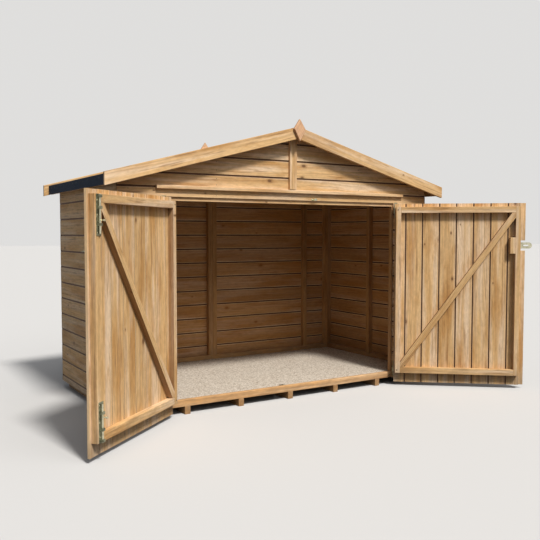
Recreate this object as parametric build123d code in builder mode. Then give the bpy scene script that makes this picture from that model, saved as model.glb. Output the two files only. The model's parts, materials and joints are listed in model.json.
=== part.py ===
"""Timber bike shelter with an apex roof and double doors that stand open.

Millimetres. +Z is up and the doors face -Y. The origin is on the ground at the centre of the
clad walls, under the middle bearer.
"""
from build123d import *
from math import atan2, ceil, cos, degrees, floor, hypot, radians, sin, tan
import os

os.makedirs("parts", exist_ok=True)

# Clad walls
wall_width = 2400.0
wall_depth = 1200.0
cladding_thickness = 12.0
course_height = 112.0
groove_width = 6.0
groove_depth = 3.5
inner_groove = 2.0
cladding_bottom = 50.0
gable_course_line = 1472.0
side_course_line = 1321.0
panel_joint = 2.0

# Floor
bearer_width = 38.0
bearer_height = 50.0
bearer_inset = 63.0
bearer_count = 7
joist_width = 28.0
joist_height = 30.0
joist_count = 3
deck_thickness = 12.0
sill_depth = 28.0
sill_ease = 2.0

# Wall framing
stud_width = 36.0
stud_depth = 38.0
rail_height = 36.0
rear_stud_offset = 905.0
gable_stud_offset = 560.0
head_depth = 28.0
head_height = 60.0

# Roof
head_room = 86.5
roof_pitch = 15.0
deck_board = 12.0
felt_thickness = 3.0
barge_width = 75.0
barge_thickness = 20.0
barge_lip = 12.0
barge_past_eaves = 37.0
eaves_overhang = 60.0
front_overhang = 60.0
rear_overhang = 50.0
fascia_thickness = 20.0
eaves_band = 62.0
purlin_width = 36.0
purlin_height = 60.0
purlin_offset = 600.0
rafter_height = 44.0
ridge_strip_width = 150.0
mitre_gap = 1.0
finial_height = 146.0
finial_width = 90.0
finial_thickness = 18.0
finial_tip_rise = 47.0
finial_shoulder = 66.0
finial_edge = 3.0

# Trim on the walls
cover_width = 54.0
cover_thickness = 20.0
drip_half_length = 963.0
drip_height = 23.0
drip_thickness = 22.0
drip_fall = 4.0
drip_above_leaf = 50.0

# Doorway and door leaves
doorway_width = 1780.0
door_gap = 5.0
frame_gap = 5.0
meeting_gap = 7.0
jamb_reveal = 8.0
leaf_bottom = 26.0
leaf_height = 1300.0
leaf_stand = 5.0
leaf_board = 12.0
leaf_board_cover = 119.0
leaf_first_board = 78.5
leaf_groove_width = 5.0
leaf_groove_depth = 3.0
leaf_frame_depth = 36.0
leaf_stile_width = 36.0
ledge_height = 43.0
leaf_top_margin = 25.0
left_free_stile = 60.0
left_stile_inset = 15.0
right_free_stile = 34.0
right_stile_inset = 8.0
brace_width = 40.0
open_angle = 140.5

# Closing strip on the right leaf
strip_width = 76.0
strip_overhang = 34.0
strip_thickness = 17.0
strip_clearance = 5.0
strip_notch_height = 72.0

# Tee hinges
pin_stand = 8.0
pin_radius = 3.0
pin_clearance = 0.3
knuckle_radius = 6.0
knuckle_height = 20.0
plate_knuckle_height = 12.0
knuckle_gap = 0.5
strap_length = 320.0
strap_root = 36.0
strap_tip = 22.0
strap_thickness = 3.0
strap_neck = 14.0
wall_plate_width = 30.0
wall_plate_height = 110.0
wall_plate_start = 8.0
wall_plate_thickness = 3.0
plate_corner = 4.0
plate_bend = 6.0
strap_flare = 8.0

# Bolts on the left leaf
bolt_plate_width = 40.0
bolt_plate_height = 200.0
bolt_plate_thickness = 2.5
bolt_edge = 45.0
rod_radius = 5.0
rod_clearance = 0.5
rod_length = 190.0
rod_stand = 9.5
rod_end_gap = 6.0
rod_ease = 1.5
guide_wall = 3.5
guide_height = 14.0
guide_places = (4.0, 58.0, 140.0)
knob_place = 126.0
knob_reach = 20.0
knob_neck = 3.0
knob_radius = 5.5
knob_length = 9.0
keep_clearance = 2.5
keep_width = 44.0
keep_depth = 24.0
keep_height = 18.0
keep_lift = 5.0
outer_keep_place = 180.0
outer_keep_height = 14.0
keep_plate = 2.0

# Hasp and staple
hasp_height = 1025.0
hasp_width = 44.0
hasp_plate_length = 30.0
hasp_plate_thickness = 2.0
hasp_pin_radius = 4.0
hasp_pin_inset = 7.0
hasp_pin_lift = 0.2
hasp_plate_gap = 0.5
hasp_web_lap = 2.0
hasp_web_inset = 1.0
flap_reach = 50.0
flap_thickness = 2.5
flap_shoulder = 1.0
slot_length = 36.0
slot_width = 10.0
slot_to_tip = 24.0
staple_wire = 2.5
staple_spread = 16.0
staple_reach = 36.0
staple_root = 1.0
staple_plate = 30.0
staple_plate_thickness = 2.0
lock_block_height = 115.0
lock_block_width = 36.0

# Places worked out from the sizes above
slope = tan(radians(roof_pitch))
fall = 1 / cos(radians(roof_pitch))
half_width = wall_width / 2
leaf_top = leaf_bottom + leaf_height
frame_top = leaf_top - leaf_top_margin
head_underside = frame_top + frame_gap
head_top = head_underside + head_height
y_front = -wall_depth / 2
y_rear = wall_depth / 2
inner_x = half_width - cladding_thickness
inner_front = y_front + cladding_thickness
inner_rear = y_rear - cladding_thickness
room_x = inner_x - stud_depth
room_front = inner_front + stud_depth
room_rear = inner_rear - stud_depth
floor_top = bearer_height + joist_height + deck_thickness
rail_top = floor_top + rail_height
felt_depth = barge_lip
deck_depth = felt_depth + felt_thickness
under_roof = deck_depth + deck_board
ridge_height = head_top + head_room + half_width * slope + under_roof * fall
deck_edge = half_width + eaves_overhang
felt_edge = deck_edge + felt_thickness
deck_front = y_front - front_overhang
deck_back = y_rear + rear_overhang
roof_length = deck_back - deck_front
frame_bottom = floor_top + frame_gap
gable_bottom = leaf_top + door_gap
drip_bottom = leaf_top + drip_above_leaf
drip_top = drip_bottom + drip_height
clad_edge = doorway_width / 2
jamb_face = clad_edge - jamb_reveal
jamb_back = inner_front + head_depth
board_edge = clad_edge - door_gap
pin_x = clad_edge - door_gap / 2
pin_depth = leaf_stand + pin_stand
pin_y = y_front - pin_depth
edge_start = pin_x - board_edge
board_end = pin_x - meeting_gap / 2
board_back = pin_stand + leaf_board
frame_back = board_back + leaf_frame_depth
stile_start = pin_x - jamb_face + frame_gap
left_stile_end = board_end - left_stile_inset
left_stile_inner = left_stile_end - left_free_stile
right_stile_end = board_end - right_stile_inset
right_stile_inner = right_stile_end - right_free_stile
ledge_middles = (frame_bottom + ledge_height / 2, frame_top - ledge_height / 2)
bolt_along = board_end - bolt_edge
rod_depth = frame_back + rod_stand
top_tip = head_underside - rod_end_gap
bottom_tip = floor_top + rod_end_gap
bolt_x = bolt_along - pin_x
bolt_y = pin_y + rod_depth
keep_hole = 2 * (rod_radius + keep_clearance)
strip_face = pin_stand - strip_thickness
strip_start = board_end + strip_overhang - strip_width
strip_end = board_end + strip_overhang
hasp_pin_depth = strip_face - hasp_pin_radius - hasp_pin_lift
hasp_pin_along = board_end - hasp_pin_inset
hasp_plate_end = hasp_pin_along - hasp_pin_radius - hasp_plate_gap
flap_end = strip_end + flap_reach
staple_along = flap_end - slot_to_tip - slot_length / 2
UP = Vector(0, 0, 1)


def roof_z(x, depth):
    """Height of the plane that lies a given depth under the bargeboards' top edge, at x."""
    return ridge_height - depth * fall - abs(x) * slope


def timber(x, y, z):
    """Adds a squared timber that fills three (low, high) spans."""
    with Locations(((x[0] + x[1]) / 2, (y[0] + y[1]) / 2, z[0])):
        Box(x[1] - x[0], y[1] - y[0], z[1] - z[0], align=(Align.CENTER, Align.CENTER, Align.MIN))


def trim_to_roof(depth):
    """Cuts off what stands above the two slopes, taken a given depth under the bargeboards' top."""
    for side in (-1, 1):
        lean = Vector(side * sin(radians(roof_pitch)), 0, cos(radians(roof_pitch)))
        split(bisect_by=Plane(origin=(0, 0, roof_z(0, depth)), z_dir=lean), keep=Keep.BOTTOM)


def slope_outline(side, near, far, top, bottom):
    """Draws a plumb-cut band of one slope, between two distances from the ridge and two depths."""
    Polygon(
        (side * near, roof_z(near, top)),
        (side * far, roof_z(far, top)),
        (side * far, roof_z(far, bottom)),
        (side * near, roof_z(near, bottom)),
        align=None,
    )


def course_joints(bottom, top, line):
    """Heights of the joints between two edges, a course apart, one of them at the given line."""
    first = ceil((bottom + groove_width - line) / course_height)
    last = floor((top - groove_width - line) / course_height)
    return [line + course * course_height for course in range(first, last + 1)]


def boarding(corner, inward, length, bottom, top, joints, rise=0.0):
    """Adds a sheet of horizontal boards that starts at a corner and faces away from inward.

    Its outline has a V joint on the outer face and a smaller one on the inner face at each joint.
    """
    outer = [(0, bottom)]
    inner = [(cladding_thickness, bottom)]
    for z in joints:
        outer += [(0, z - groove_width / 2), (groove_depth, z), (0, z + groove_width / 2)]
        inner += [(cladding_thickness, z - inner_groove), (cladding_thickness - inner_groove, z),
                  (cladding_thickness, z + inner_groove)]
    outline_points = outer + [(0, top), (cladding_thickness, top + rise)] + inner[::-1]
    with BuildSketch(Plane(origin=corner, x_dir=inward, z_dir=inward.cross(UP))) as outline:
        Polygon(*outline_points, align=None)
    extrude(outline.sketch, amount=length)


def along_leaf(side):
    """Direction from a leaf's hinge to its free edge, at the open angle; side is -1 left, 1 right."""
    return Vector(-side, 0, 0).rotate(Axis.Z, side * open_angle)


def into_leaf(side):
    """Direction from a leaf's outer face to its inner face, at the open angle."""
    return Vector(0, 1, 0).rotate(Axis.Z, side * open_angle)


def leaf_section(side, z):
    """Level plane through a leaf, from its hinge pin, with local X along the leaf."""
    return Plane(origin=(side * pin_x, pin_y, z), x_dir=along_leaf(side), z_dir=UP)


def leaf_face(side, depth):
    """Upright plane along a leaf at a depth behind its pin, with local Y as the height."""
    origin = Vector(side * pin_x, pin_y, 0) + into_leaf(side) * depth
    return Plane(origin=origin, x_dir=along_leaf(side), z_dir=along_leaf(side).cross(UP))


def level(side, along, depth):
    """Point of a leaf's level plane, from its distance along the leaf and its depth."""
    return (along, -side * depth)


def bar(side, low, high, bottom, top, front, thickness):
    """Adds a squared bar of a leaf between two distances along it, two heights and two depths."""
    with BuildSketch(leaf_face(side, front)) as outline:
        with Locations(((low + high) / 2, (bottom + top) / 2)):
            Rectangle(high - low, top - bottom)
    extrude(outline.sketch, amount=side * thickness)


def save(piece, name):
    """Labels a finished piece and writes it under the same name."""
    piece.part.label = name
    export_step(piece.part, f"parts/{name}.step")


# Floor: bearers run front to back under cross joists, a front sill and a board deck
with BuildPart() as floor_bearers:
    with BuildSketch(Plane.XY):
        bearer_pitch = 2 * (half_width - bearer_inset) / (bearer_count - 1)
        with GridLocations(bearer_pitch, 1, bearer_count, 1):
            Rectangle(bearer_width, inner_rear - inner_front)
    extrude(amount=bearer_height)
save(floor_bearers, "floor_bearers")

joist_span = inner_rear - joist_width - inner_front
with BuildPart() as floor_joists:
    for place in range(1, joist_count + 1):
        y = inner_front + joist_span * place / joist_count
        timber((-inner_x, inner_x), (y, y + joist_width), (bearer_height, bearer_height + joist_height))
save(floor_joists, "floor_joists")

with BuildPart() as floor_sill:
    timber((-inner_x, inner_x), (inner_front, inner_front + sill_depth), (bearer_height, floor_top))
    front_edge = floor_sill.edges().filter_by(Axis.X).group_by(Axis.Z)[-1].sort_by(Axis.Y)[0]
    chamfer(front_edge, length=sill_ease)
save(floor_sill, "floor_sill")

with BuildPart() as floor_deck:
    deck_z = floor_top - deck_thickness
    timber((-inner_x, inner_x), (inner_front + sill_depth, inner_rear), (deck_z, floor_top))
    with Locations((bolt_x, bolt_y, floor_top)):
        Box(keep_hole, keep_hole, 2 * deck_thickness, mode=Mode.SUBTRACT)
        Box(keep_width, keep_depth, 2 * keep_plate, mode=Mode.SUBTRACT)
save(floor_deck, "floor_deck")

# Boarding of the walls
for side, name in ((-1, "front_left_cladding"), (1, "front_right_cladding")):
    start = -half_width if side < 0 else clad_edge
    with BuildPart() as front_cladding:
        boarding((start, y_front, 0), Vector(0, 1, 0), half_width - clad_edge, cladding_bottom, gable_bottom,
                 course_joints(cladding_bottom, gable_bottom, gable_course_line))
    save(front_cladding, name)

with BuildPart() as front_gable_cladding:
    boarding((-half_width, y_front, 0), Vector(0, 1, 0), wall_width, gable_bottom, ridge_height,
             course_joints(drip_top, ridge_height, gable_course_line))
    trim_to_roof(under_roof)
save(front_gable_cladding, "front_gable_cladding")

with BuildPart() as rear_cladding:
    half_panel = half_width - panel_joint / 2
    for start in (half_width, -panel_joint / 2):
        boarding((start, y_rear, 0), Vector(0, -1, 0), half_panel, cladding_bottom, ridge_height,
                 course_joints(cladding_bottom, ridge_height, side_course_line))
    trim_to_roof(under_roof)
save(rear_cladding, "rear_cladding")

side_top = roof_z(half_width, under_roof)
for side, name in ((-1, "left_cladding"), (1, "right_cladding")):
    with BuildPart() as side_cladding:
        corner = (side * half_width, -side * (wall_depth / 2 - cladding_thickness), 0)
        boarding(corner, Vector(-side, 0, 0), inner_rear - inner_front, cladding_bottom, side_top,
                 course_joints(cladding_bottom, side_top, side_course_line), cladding_thickness * slope)
    save(side_cladding, name)

# Wall framing
with BuildPart() as front_studs:
    for side in (-1, 1):
        jamb = sorted((side * jamb_face, side * (jamb_face + stud_width)))
        timber(jamb, (inner_front, jamb_back), (floor_top, head_underside))
        end = sorted((side * room_x, side * (room_x - stud_width)))
        timber(end, (inner_front, room_front), (rail_top, ridge_height))
    for x in (-gable_stud_offset, 0, gable_stud_offset):
        timber((x - stud_width / 2, x + stud_width / 2), (inner_front, room_front),
               (head_top, ridge_height))
    trim_to_roof(under_roof + rafter_height)
save(front_studs, "front_studs")

with BuildPart() as head_rail:
    half_head = room_x - stud_width
    timber((-half_head, half_head), (inner_front, jamb_back), (head_underside, head_top))
save(head_rail, "head_rail")

with BuildPart() as side_studs:
    for side in (-1, 1):
        across = sorted((side * room_x, side * inner_x))
        for y in (inner_front, -stud_width / 2, inner_rear - stud_width):
            timber(across, (y, y + stud_width), (rail_top, roof_z(inner_x, under_roof) - rail_height))
save(side_studs, "side_studs")

with BuildPart() as side_rails:
    for side in (-1, 1):
        across = sorted((side * room_x, side * inner_x))
        timber(across, (inner_front, inner_rear), (floor_top, rail_top))
        timber(across, (inner_front, inner_rear),
               (roof_z(inner_x, under_roof) - rail_height, ridge_height))
    trim_to_roof(under_roof)
save(side_rails, "side_rails")

with BuildPart() as bottom_rails:
    for side in (-1, 1):
        across = sorted((side * room_x, side * (jamb_face + stud_width)))
        timber(across, (inner_front, room_front), (floor_top, rail_top))
    timber((-room_x, room_x), (room_rear, inner_rear), (floor_top, rail_top))
save(bottom_rails, "bottom_rails")

with BuildPart() as rear_studs:
    middles = (panel_joint / 2 + stud_width / 2, rear_stud_offset, room_x - stud_width / 2)
    for x in [side * middle for middle in middles for side in (-1, 1)]:
        timber((x - stud_width / 2, x + stud_width / 2), (room_rear, inner_rear), (rail_top, ridge_height))
    trim_to_roof(under_roof + rafter_height)
save(rear_studs, "rear_studs")

# Roof structure
with BuildPart() as gable_rafters:
    for y in (room_front, inner_rear):
        with BuildSketch(Plane.XZ.offset(-y)):
            for side in (-1, 1):
                slope_outline(side, mitre_gap / 2, room_x, under_roof, under_roof + rafter_height)
        extrude(amount=stud_depth)
save(gable_rafters, "gable_rafters")

with BuildPart() as roof_purlins:
    with BuildSketch(Plane.XZ.offset(-room_rear)):
        for x in (-purlin_offset, 0, purlin_offset):
            low, high = x - purlin_width / 2, x + purlin_width / 2
            base = min(roof_z(low, under_roof), roof_z(high, under_roof)) - purlin_height
            tops = [(low, roof_z(low, under_roof)), (high, roof_z(high, under_roof))]
            if x == 0:
                tops.insert(1, (0, roof_z(0, under_roof)))
            Polygon(*tops, (high, base), (low, base), align=None)
    extrude(amount=room_rear - room_front)
save(roof_purlins, "roof_purlins")

for side, name in ((-1, "left"), (1, "right")):
    with BuildPart() as roof_deck:
        with BuildSketch(Plane.XZ.offset(-deck_back)):
            slope_outline(side, 0, deck_edge, deck_depth, under_roof)
        extrude(amount=roof_length)
    save(roof_deck, f"roof_deck_{name}")

    felt_low = roof_z(felt_edge, felt_depth) - eaves_band
    with BuildPart() as roof_felt:
        with BuildSketch(Plane.XZ.offset(-deck_back)) as felt_outline:
            Polygon(
                (0, roof_z(0, felt_depth)),
                (side * felt_edge, roof_z(felt_edge, felt_depth)),
                (side * felt_edge, felt_low),
                (side * deck_edge, felt_low),
                (side * deck_edge, roof_z(deck_edge, deck_depth)),
                (0, roof_z(0, deck_depth)),
                align=None,
            )
        extrude(amount=roof_length)
    save(roof_felt, f"roof_felt_{name}")

with BuildPart() as felt_ridge_strip:
    with BuildSketch(Plane.XZ.offset(-deck_back)):
        Polygon(
            (-ridge_strip_width, roof_z(ridge_strip_width, felt_depth)),
            (0, roof_z(0, felt_depth)),
            (ridge_strip_width, roof_z(ridge_strip_width, felt_depth)),
            (ridge_strip_width, roof_z(ridge_strip_width, felt_depth - felt_thickness)),
            (0, roof_z(0, felt_depth - felt_thickness)),
            (-ridge_strip_width, roof_z(ridge_strip_width, felt_depth - felt_thickness)),
            align=None,
        )
    extrude(amount=roof_length)
save(felt_ridge_strip, "felt_ridge_strip")

with BuildPart() as eaves_fascias:
    with BuildSketch(Plane.XZ.offset(-deck_back)):
        inner = deck_edge - fascia_thickness
        for side in (-1, 1):
            Polygon(
                (side * inner, roof_z(inner, under_roof)),
                (side * deck_edge, roof_z(deck_edge, under_roof)),
                (side * deck_edge, roof_z(felt_edge, felt_depth) - eaves_band),
                (side * inner, roof_z(felt_edge, felt_depth) - eaves_band),
                align=None,
            )
    extrude(amount=roof_length)
save(eaves_fascias, "eaves_fascias")

barge_end = deck_edge + barge_past_eaves
with BuildPart() as bargeboards:
    for y in (deck_front, deck_back + barge_thickness):
        with BuildSketch(Plane.XZ.offset(-y)):
            for side in (-1, 1):
                slope_outline(side, mitre_gap / 2, barge_end, 0, barge_width)
        extrude(amount=barge_thickness)
save(bargeboards, "bargeboards")

with BuildPart() as finials:
    finial_tip = ridge_height + finial_tip_rise
    for y in (deck_front - barge_thickness, deck_back + barge_thickness + finial_thickness):
        with BuildSketch(Plane.XZ.offset(-y)):
            Polygon(
                (0, finial_tip),
                (finial_width / 2, finial_tip - finial_shoulder),
                (0, finial_tip - finial_height),
                (-finial_width / 2, finial_tip - finial_shoulder),
                align=None,
            )
        extrude(amount=finial_thickness)
    outer = finials.faces().filter_by(Axis.Y).sort_by(Axis.Y)
    chamfer(outer[0].edges() + outer[-1].edges(), length=finial_edge)
save(finials, "finials")

# Trim over the doors and on the rear wall
with BuildPart() as cover_strips:
    across = (-cover_width / 2, cover_width / 2)
    timber(across, (y_front - cover_thickness, y_front), (drip_top, ridge_height))
    timber(across, (y_rear, y_rear + cover_thickness), (cladding_bottom, ridge_height))
    trim_to_roof(under_roof)
save(cover_strips, "cover_strips")

with BuildPart() as drip_strip:
    with BuildSketch(Plane(origin=(-drip_half_length, y_front, 0), x_dir=(0, -1, 0), z_dir=(-1, 0, 0))):
        Polygon(
            (0, drip_bottom),
            (drip_thickness, drip_bottom),
            (drip_thickness, drip_top - drip_fall),
            (0, drip_top),
            align=None,
        )
    extrude(amount=-2 * drip_half_length)
save(drip_strip, "drip_strip")

# Fixed halves of the hinges and the keeps that the bolts slide into
with BuildPart() as hinge_plates:
    for side in (-1, 1):
        outward = (side, 0, 0)
        for z in ledge_middles:
            with BuildSketch(Plane(origin=(side * pin_x, y_front, z), x_dir=outward, z_dir=(0, -side, 0))):
                with Locations((wall_plate_start + wall_plate_width / 2, 0)):
                    RectangleRounded(wall_plate_width, wall_plate_height, plate_corner)
            extrude(amount=side * wall_plate_thickness)
            for low in (z - knuckle_height / 2 - knuckle_gap - plate_knuckle_height,
                        z + knuckle_height / 2 + knuckle_gap):
                with BuildSketch(Plane(origin=(side * pin_x, pin_y, low), x_dir=outward, z_dir=(0, 0, side))):
                    Circle(knuckle_radius)
                    Polygon(
                        (0, knuckle_radius),
                        (knuckle_radius, 0),
                        (wall_plate_start + plate_bend, pin_depth - wall_plate_thickness),
                        (wall_plate_start, pin_depth),
                        align=None,
                    )
                extrude(amount=side * plate_knuckle_height)
            pin_low = z - knuckle_height / 2 - knuckle_gap - plate_knuckle_height
            with BuildSketch(Plane(origin=(side * pin_x, pin_y, pin_low))):
                Circle(pin_radius)
            extrude(amount=knuckle_height + 2 * knuckle_gap + 2 * plate_knuckle_height)
save(hinge_plates, "hinge_plates")

with BuildPart() as bolt_keeps:
    hoop = keep_hole / 2 + guide_wall
    outer_heights = (gable_bottom, gable_bottom + outer_keep_height)
    timber((outer_keep_place - keep_width / 2, outer_keep_place + keep_width / 2),
           (y_front - keep_plate, y_front), outer_heights)
    timber((outer_keep_place - hoop, outer_keep_place + hoop),
           (y_front - keep_plate - keep_hole - guide_wall, y_front), outer_heights)
    with Locations((outer_keep_place, y_front - keep_plate, gable_bottom)):
        Box(keep_hole, keep_hole, 4 * outer_keep_height, align=(Align.CENTER, Align.MAX, Align.CENTER),
            mode=Mode.SUBTRACT)
    keep_z = head_underside + keep_lift
    across = (bolt_x - keep_width / 2, bolt_x + keep_width / 2)
    timber(across, (jamb_back, jamb_back + keep_plate), (keep_z, keep_z + keep_height))
    timber((bolt_x - hoop, bolt_x + hoop), (jamb_back, bolt_y + hoop), (keep_z, keep_z + keep_height))
    timber(across, (bolt_y - keep_depth / 2, bolt_y + keep_depth / 2), (floor_top - keep_plate, floor_top))
    with Locations((bolt_x, bolt_y, floor_top), (bolt_x, bolt_y, keep_z)):
        Box(keep_hole, keep_hole, 2 * keep_height, mode=Mode.SUBTRACT)
save(bolt_keeps, "bolt_keeps")

# Door leaves: upright boards on a frame of stiles, ledges and one brace
for side, name in ((-1, "left_leaf"), (1, "right_leaf")):
    stile_ends = (left_stile_inner, left_stile_end) if side < 0 else (right_stile_inner, right_stile_end)
    ledge_start = stile_start + leaf_stile_width

    with BuildPart() as leaf_boards:
        outer = [(edge_start, pin_stand)]
        inner = []
        joint = edge_start + leaf_first_board
        half = leaf_groove_width / 2
        while joint < board_end - half:
            outer += [(joint - half, pin_stand), (joint, pin_stand + leaf_groove_depth),
                      (joint + half, pin_stand)]
            inner += [(joint - half, board_back), (joint, board_back - leaf_groove_depth),
                      (joint + half, board_back)]
            joint += leaf_board_cover
        outer += [(board_end, pin_stand), (board_end, board_back)]
        loop = outer + inner[::-1] + [(edge_start, board_back)]
        with BuildSketch(leaf_section(side, leaf_bottom)):
            Polygon(*[level(side, along, depth) for along, depth in loop], align=None)
        extrude(amount=leaf_height)
    save(leaf_boards, f"{name}_boards")

    with BuildPart() as leaf_stiles:
        for low, high in ((stile_start, ledge_start), stile_ends):
            bar(side, low, high, frame_bottom, frame_top, board_back, leaf_frame_depth)
    save(leaf_stiles, f"{name}_stiles")

    with BuildPart() as leaf_ledges:
        for middle in ledge_middles:
            bar(side, ledge_start, stile_ends[0], middle - ledge_height / 2, middle + ledge_height / 2,
                board_back, leaf_frame_depth)
    save(leaf_ledges, f"{name}_ledges")

    with BuildPart() as leaf_brace:
        bay_width = stile_ends[0] - ledge_start
        bay_height = frame_top - frame_bottom - 2 * ledge_height
        with BuildSketch(leaf_face(side, board_back)):
            with Locations(((ledge_start + stile_ends[0]) / 2, (frame_bottom + frame_top) / 2)):
                lean = degrees(atan2(bay_height, bay_width))
                Rectangle(2 * hypot(bay_width, bay_height), brace_width, rotation=lean)
                Rectangle(bay_width, bay_height, mode=Mode.INTERSECT)
        extrude(amount=side * leaf_frame_depth)
    save(leaf_brace, f"{name}_brace")

    with BuildPart() as leaf_hinges:
        for z in ledge_middles:
            with BuildSketch(leaf_face(side, pin_stand)):
                with Locations((0, z)):
                    Polygon(
                        (0, knuckle_height / 2),
                        (strap_neck, knuckle_height / 2),
                        (strap_neck + strap_flare, strap_root / 2),
                        (strap_length - strap_tip / 2, strap_tip / 2),
                        (strap_length - strap_tip / 2, -strap_tip / 2),
                        (strap_neck + strap_flare, -strap_root / 2),
                        (strap_neck, -knuckle_height / 2),
                        (0, -knuckle_height / 2),
                        align=None,
                    )
                with Locations((strap_length - strap_tip / 2, z)):
                    Circle(strap_tip / 2)
            extrude(amount=-side * strap_thickness)
            with BuildSketch(leaf_section(side, z - knuckle_height / 2)):
                Circle(knuckle_radius)
            extrude(amount=knuckle_height)
            with BuildSketch(leaf_section(side, z - knuckle_height / 2)):
                Circle(pin_radius + pin_clearance)
            extrude(amount=knuckle_height, mode=Mode.SUBTRACT)
    save(leaf_hinges, f"{name}_hinges")

# Bolts on the left leaf: a backplate with three guides, and a rod with a turned knob
LEFT = -1


def from_tip(end, distance):
    """Height at a distance from a bolt's resting tip; end is 1 for the top bolt, -1 for the bottom."""
    return (top_tip if end > 0 else bottom_tip) - end * distance


with BuildPart() as left_leaf_fittings:
    for end in (1, -1):
        heights = sorted((from_tip(end, 0), from_tip(end, bolt_plate_height)))
        bar(LEFT, bolt_along - bolt_plate_width / 2, bolt_along + bolt_plate_width / 2, *heights,
            frame_back, bolt_plate_thickness)
        guide_half = rod_radius + rod_clearance + guide_wall
        for place in guide_places:
            low, high = sorted((from_tip(end, place), from_tip(end, place + guide_height)))
            bar(LEFT, bolt_along - guide_half, bolt_along + guide_half, low, high,
                frame_back, rod_stand + guide_half)
            with BuildSketch(leaf_section(LEFT, low)):
                with Locations(level(LEFT, bolt_along, rod_depth)):
                    Circle(rod_radius + rod_clearance)
            extrude(amount=high - low, mode=Mode.SUBTRACT)
    staple_at = 2 * pin_x - staple_along
    bar(LEFT, staple_at - staple_plate / 2, staple_at + staple_plate / 2,
        hasp_height - staple_plate / 2, hasp_height + staple_plate / 2,
        pin_stand - staple_plate_thickness, staple_plate_thickness)
    half = staple_spread / 2
    bend = pin_stand - staple_reach + half
    root = pin_stand - staple_root
    with BuildLine(leaf_section(LEFT, hasp_height)) as wire:
        Line(level(LEFT, staple_at - half, root), level(LEFT, staple_at - half, bend))
        ThreePointArc(level(LEFT, staple_at - half, bend), level(LEFT, staple_at, bend - half),
                      level(LEFT, staple_at + half, bend))
        Line(level(LEFT, staple_at + half, bend), level(LEFT, staple_at + half, root))
    with BuildSketch(leaf_face(LEFT, root)) as wire_section:
        with Locations((staple_at - half, hasp_height)):
            Circle(staple_wire)
    sweep(sections=wire_section.sketch, path=wire.line)
save(left_leaf_fittings, "left_leaf_fittings")

for end, name in ((1, "top_bolt"), (-1, "bottom_bolt")):
    with BuildPart() as bolt:
        low = min(from_tip(end, 0), from_tip(end, rod_length))
        with BuildSketch(leaf_section(LEFT, low)):
            with Locations(level(LEFT, bolt_along, rod_depth)):
                Circle(rod_radius)
        extrude(amount=rod_length)
        tip = bolt.edges().group_by(Axis.Z)[-1 if end > 0 else 0]
        chamfer(tip, length=rod_ease)
        for start, radius, length in ((0, knob_neck, knob_reach), (knob_reach, knob_radius, knob_length)):
            with BuildSketch(leaf_face(LEFT, rod_depth + start)):
                with Locations((bolt_along, from_tip(end, knob_place))):
                    Circle(radius)
            extrude(amount=LEFT * length)
    save(bolt, name)

# Closing strip, hasp and lock block on the right leaf
RIGHT = 1
with BuildPart() as closing_strip:
    with BuildSketch(leaf_section(RIGHT, leaf_bottom)):
        Polygon(
            level(RIGHT, strip_start, pin_stand),
            level(RIGHT, strip_start, strip_face),
            level(RIGHT, strip_end, strip_face),
            level(RIGHT, strip_end, pin_stand - strip_clearance),
            level(RIGHT, board_end, pin_stand - strip_clearance),
            level(RIGHT, board_end, pin_stand),
            align=None,
        )
    extrude(amount=leaf_height)
    with BuildSketch(leaf_face(RIGHT, strip_face)):
        with Locations(((board_end + strip_end) / 2, hasp_height)):
            Rectangle(strip_overhang, strip_notch_height)
    extrude(amount=RIGHT * strip_thickness, mode=Mode.SUBTRACT)
save(closing_strip, "closing_strip")

with BuildPart() as hasp_plate:
    bar(RIGHT, hasp_plate_end - hasp_plate_length, hasp_plate_end, hasp_height - hasp_width / 2,
        hasp_height + hasp_width / 2, strip_face - hasp_plate_thickness, hasp_plate_thickness)
    for low in (hasp_height - hasp_width / 2, hasp_height + hasp_width / 6 + knuckle_gap):
        with BuildSketch(leaf_section(RIGHT, low)):
            with Locations(level(RIGHT, hasp_pin_along, hasp_pin_depth)):
                Circle(hasp_pin_radius)
            Polygon(
                level(RIGHT, hasp_plate_end - hasp_web_lap, strip_face),
                level(RIGHT, hasp_pin_along, hasp_pin_depth + hasp_pin_radius - hasp_web_inset),
                level(RIGHT, hasp_pin_along - hasp_pin_radius + hasp_web_inset, hasp_pin_depth),
                level(RIGHT, hasp_plate_end - hasp_web_lap, strip_face - hasp_plate_thickness),
                align=None,
            )
        extrude(amount=hasp_width / 3 - knuckle_gap)
    with BuildSketch(leaf_section(RIGHT, hasp_height - hasp_width / 2)):
        with Locations(level(RIGHT, hasp_pin_along, hasp_pin_depth)):
            Circle(hasp_pin_radius / 2)
    extrude(amount=hasp_width)
save(hasp_plate, "hasp_plate")

with BuildPart() as hasp_flap:
    with BuildSketch(leaf_face(RIGHT, hasp_pin_depth - flap_thickness / 2)):
        flap_start = hasp_pin_along + hasp_pin_radius + flap_shoulder
        tip_centre = flap_end - hasp_width / 2
        with Locations(((flap_start + tip_centre) / 2, hasp_height)):
            Rectangle(tip_centre - flap_start, hasp_width)
        with Locations((tip_centre, hasp_height)):
            Circle(hasp_width / 2)
        with Locations(((hasp_pin_along + tip_centre) / 2, hasp_height)):
            Rectangle(tip_centre - hasp_pin_along, hasp_width / 3)
        with Locations((staple_along, hasp_height)):
            SlotOverall(slot_length, slot_width, mode=Mode.SUBTRACT)
    extrude(amount=RIGHT * flap_thickness)
    with BuildSketch(leaf_section(RIGHT, hasp_height - hasp_width / 6)):
        with Locations(level(RIGHT, hasp_pin_along, hasp_pin_depth)):
            Circle(hasp_pin_radius)
    extrude(amount=hasp_width / 3)
    with BuildSketch(leaf_section(RIGHT, hasp_height - hasp_width / 6)):
        with Locations(level(RIGHT, hasp_pin_along, hasp_pin_depth)):
            Circle(hasp_pin_radius / 2 + pin_clearance)
    extrude(amount=hasp_width / 3, mode=Mode.SUBTRACT)
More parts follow.
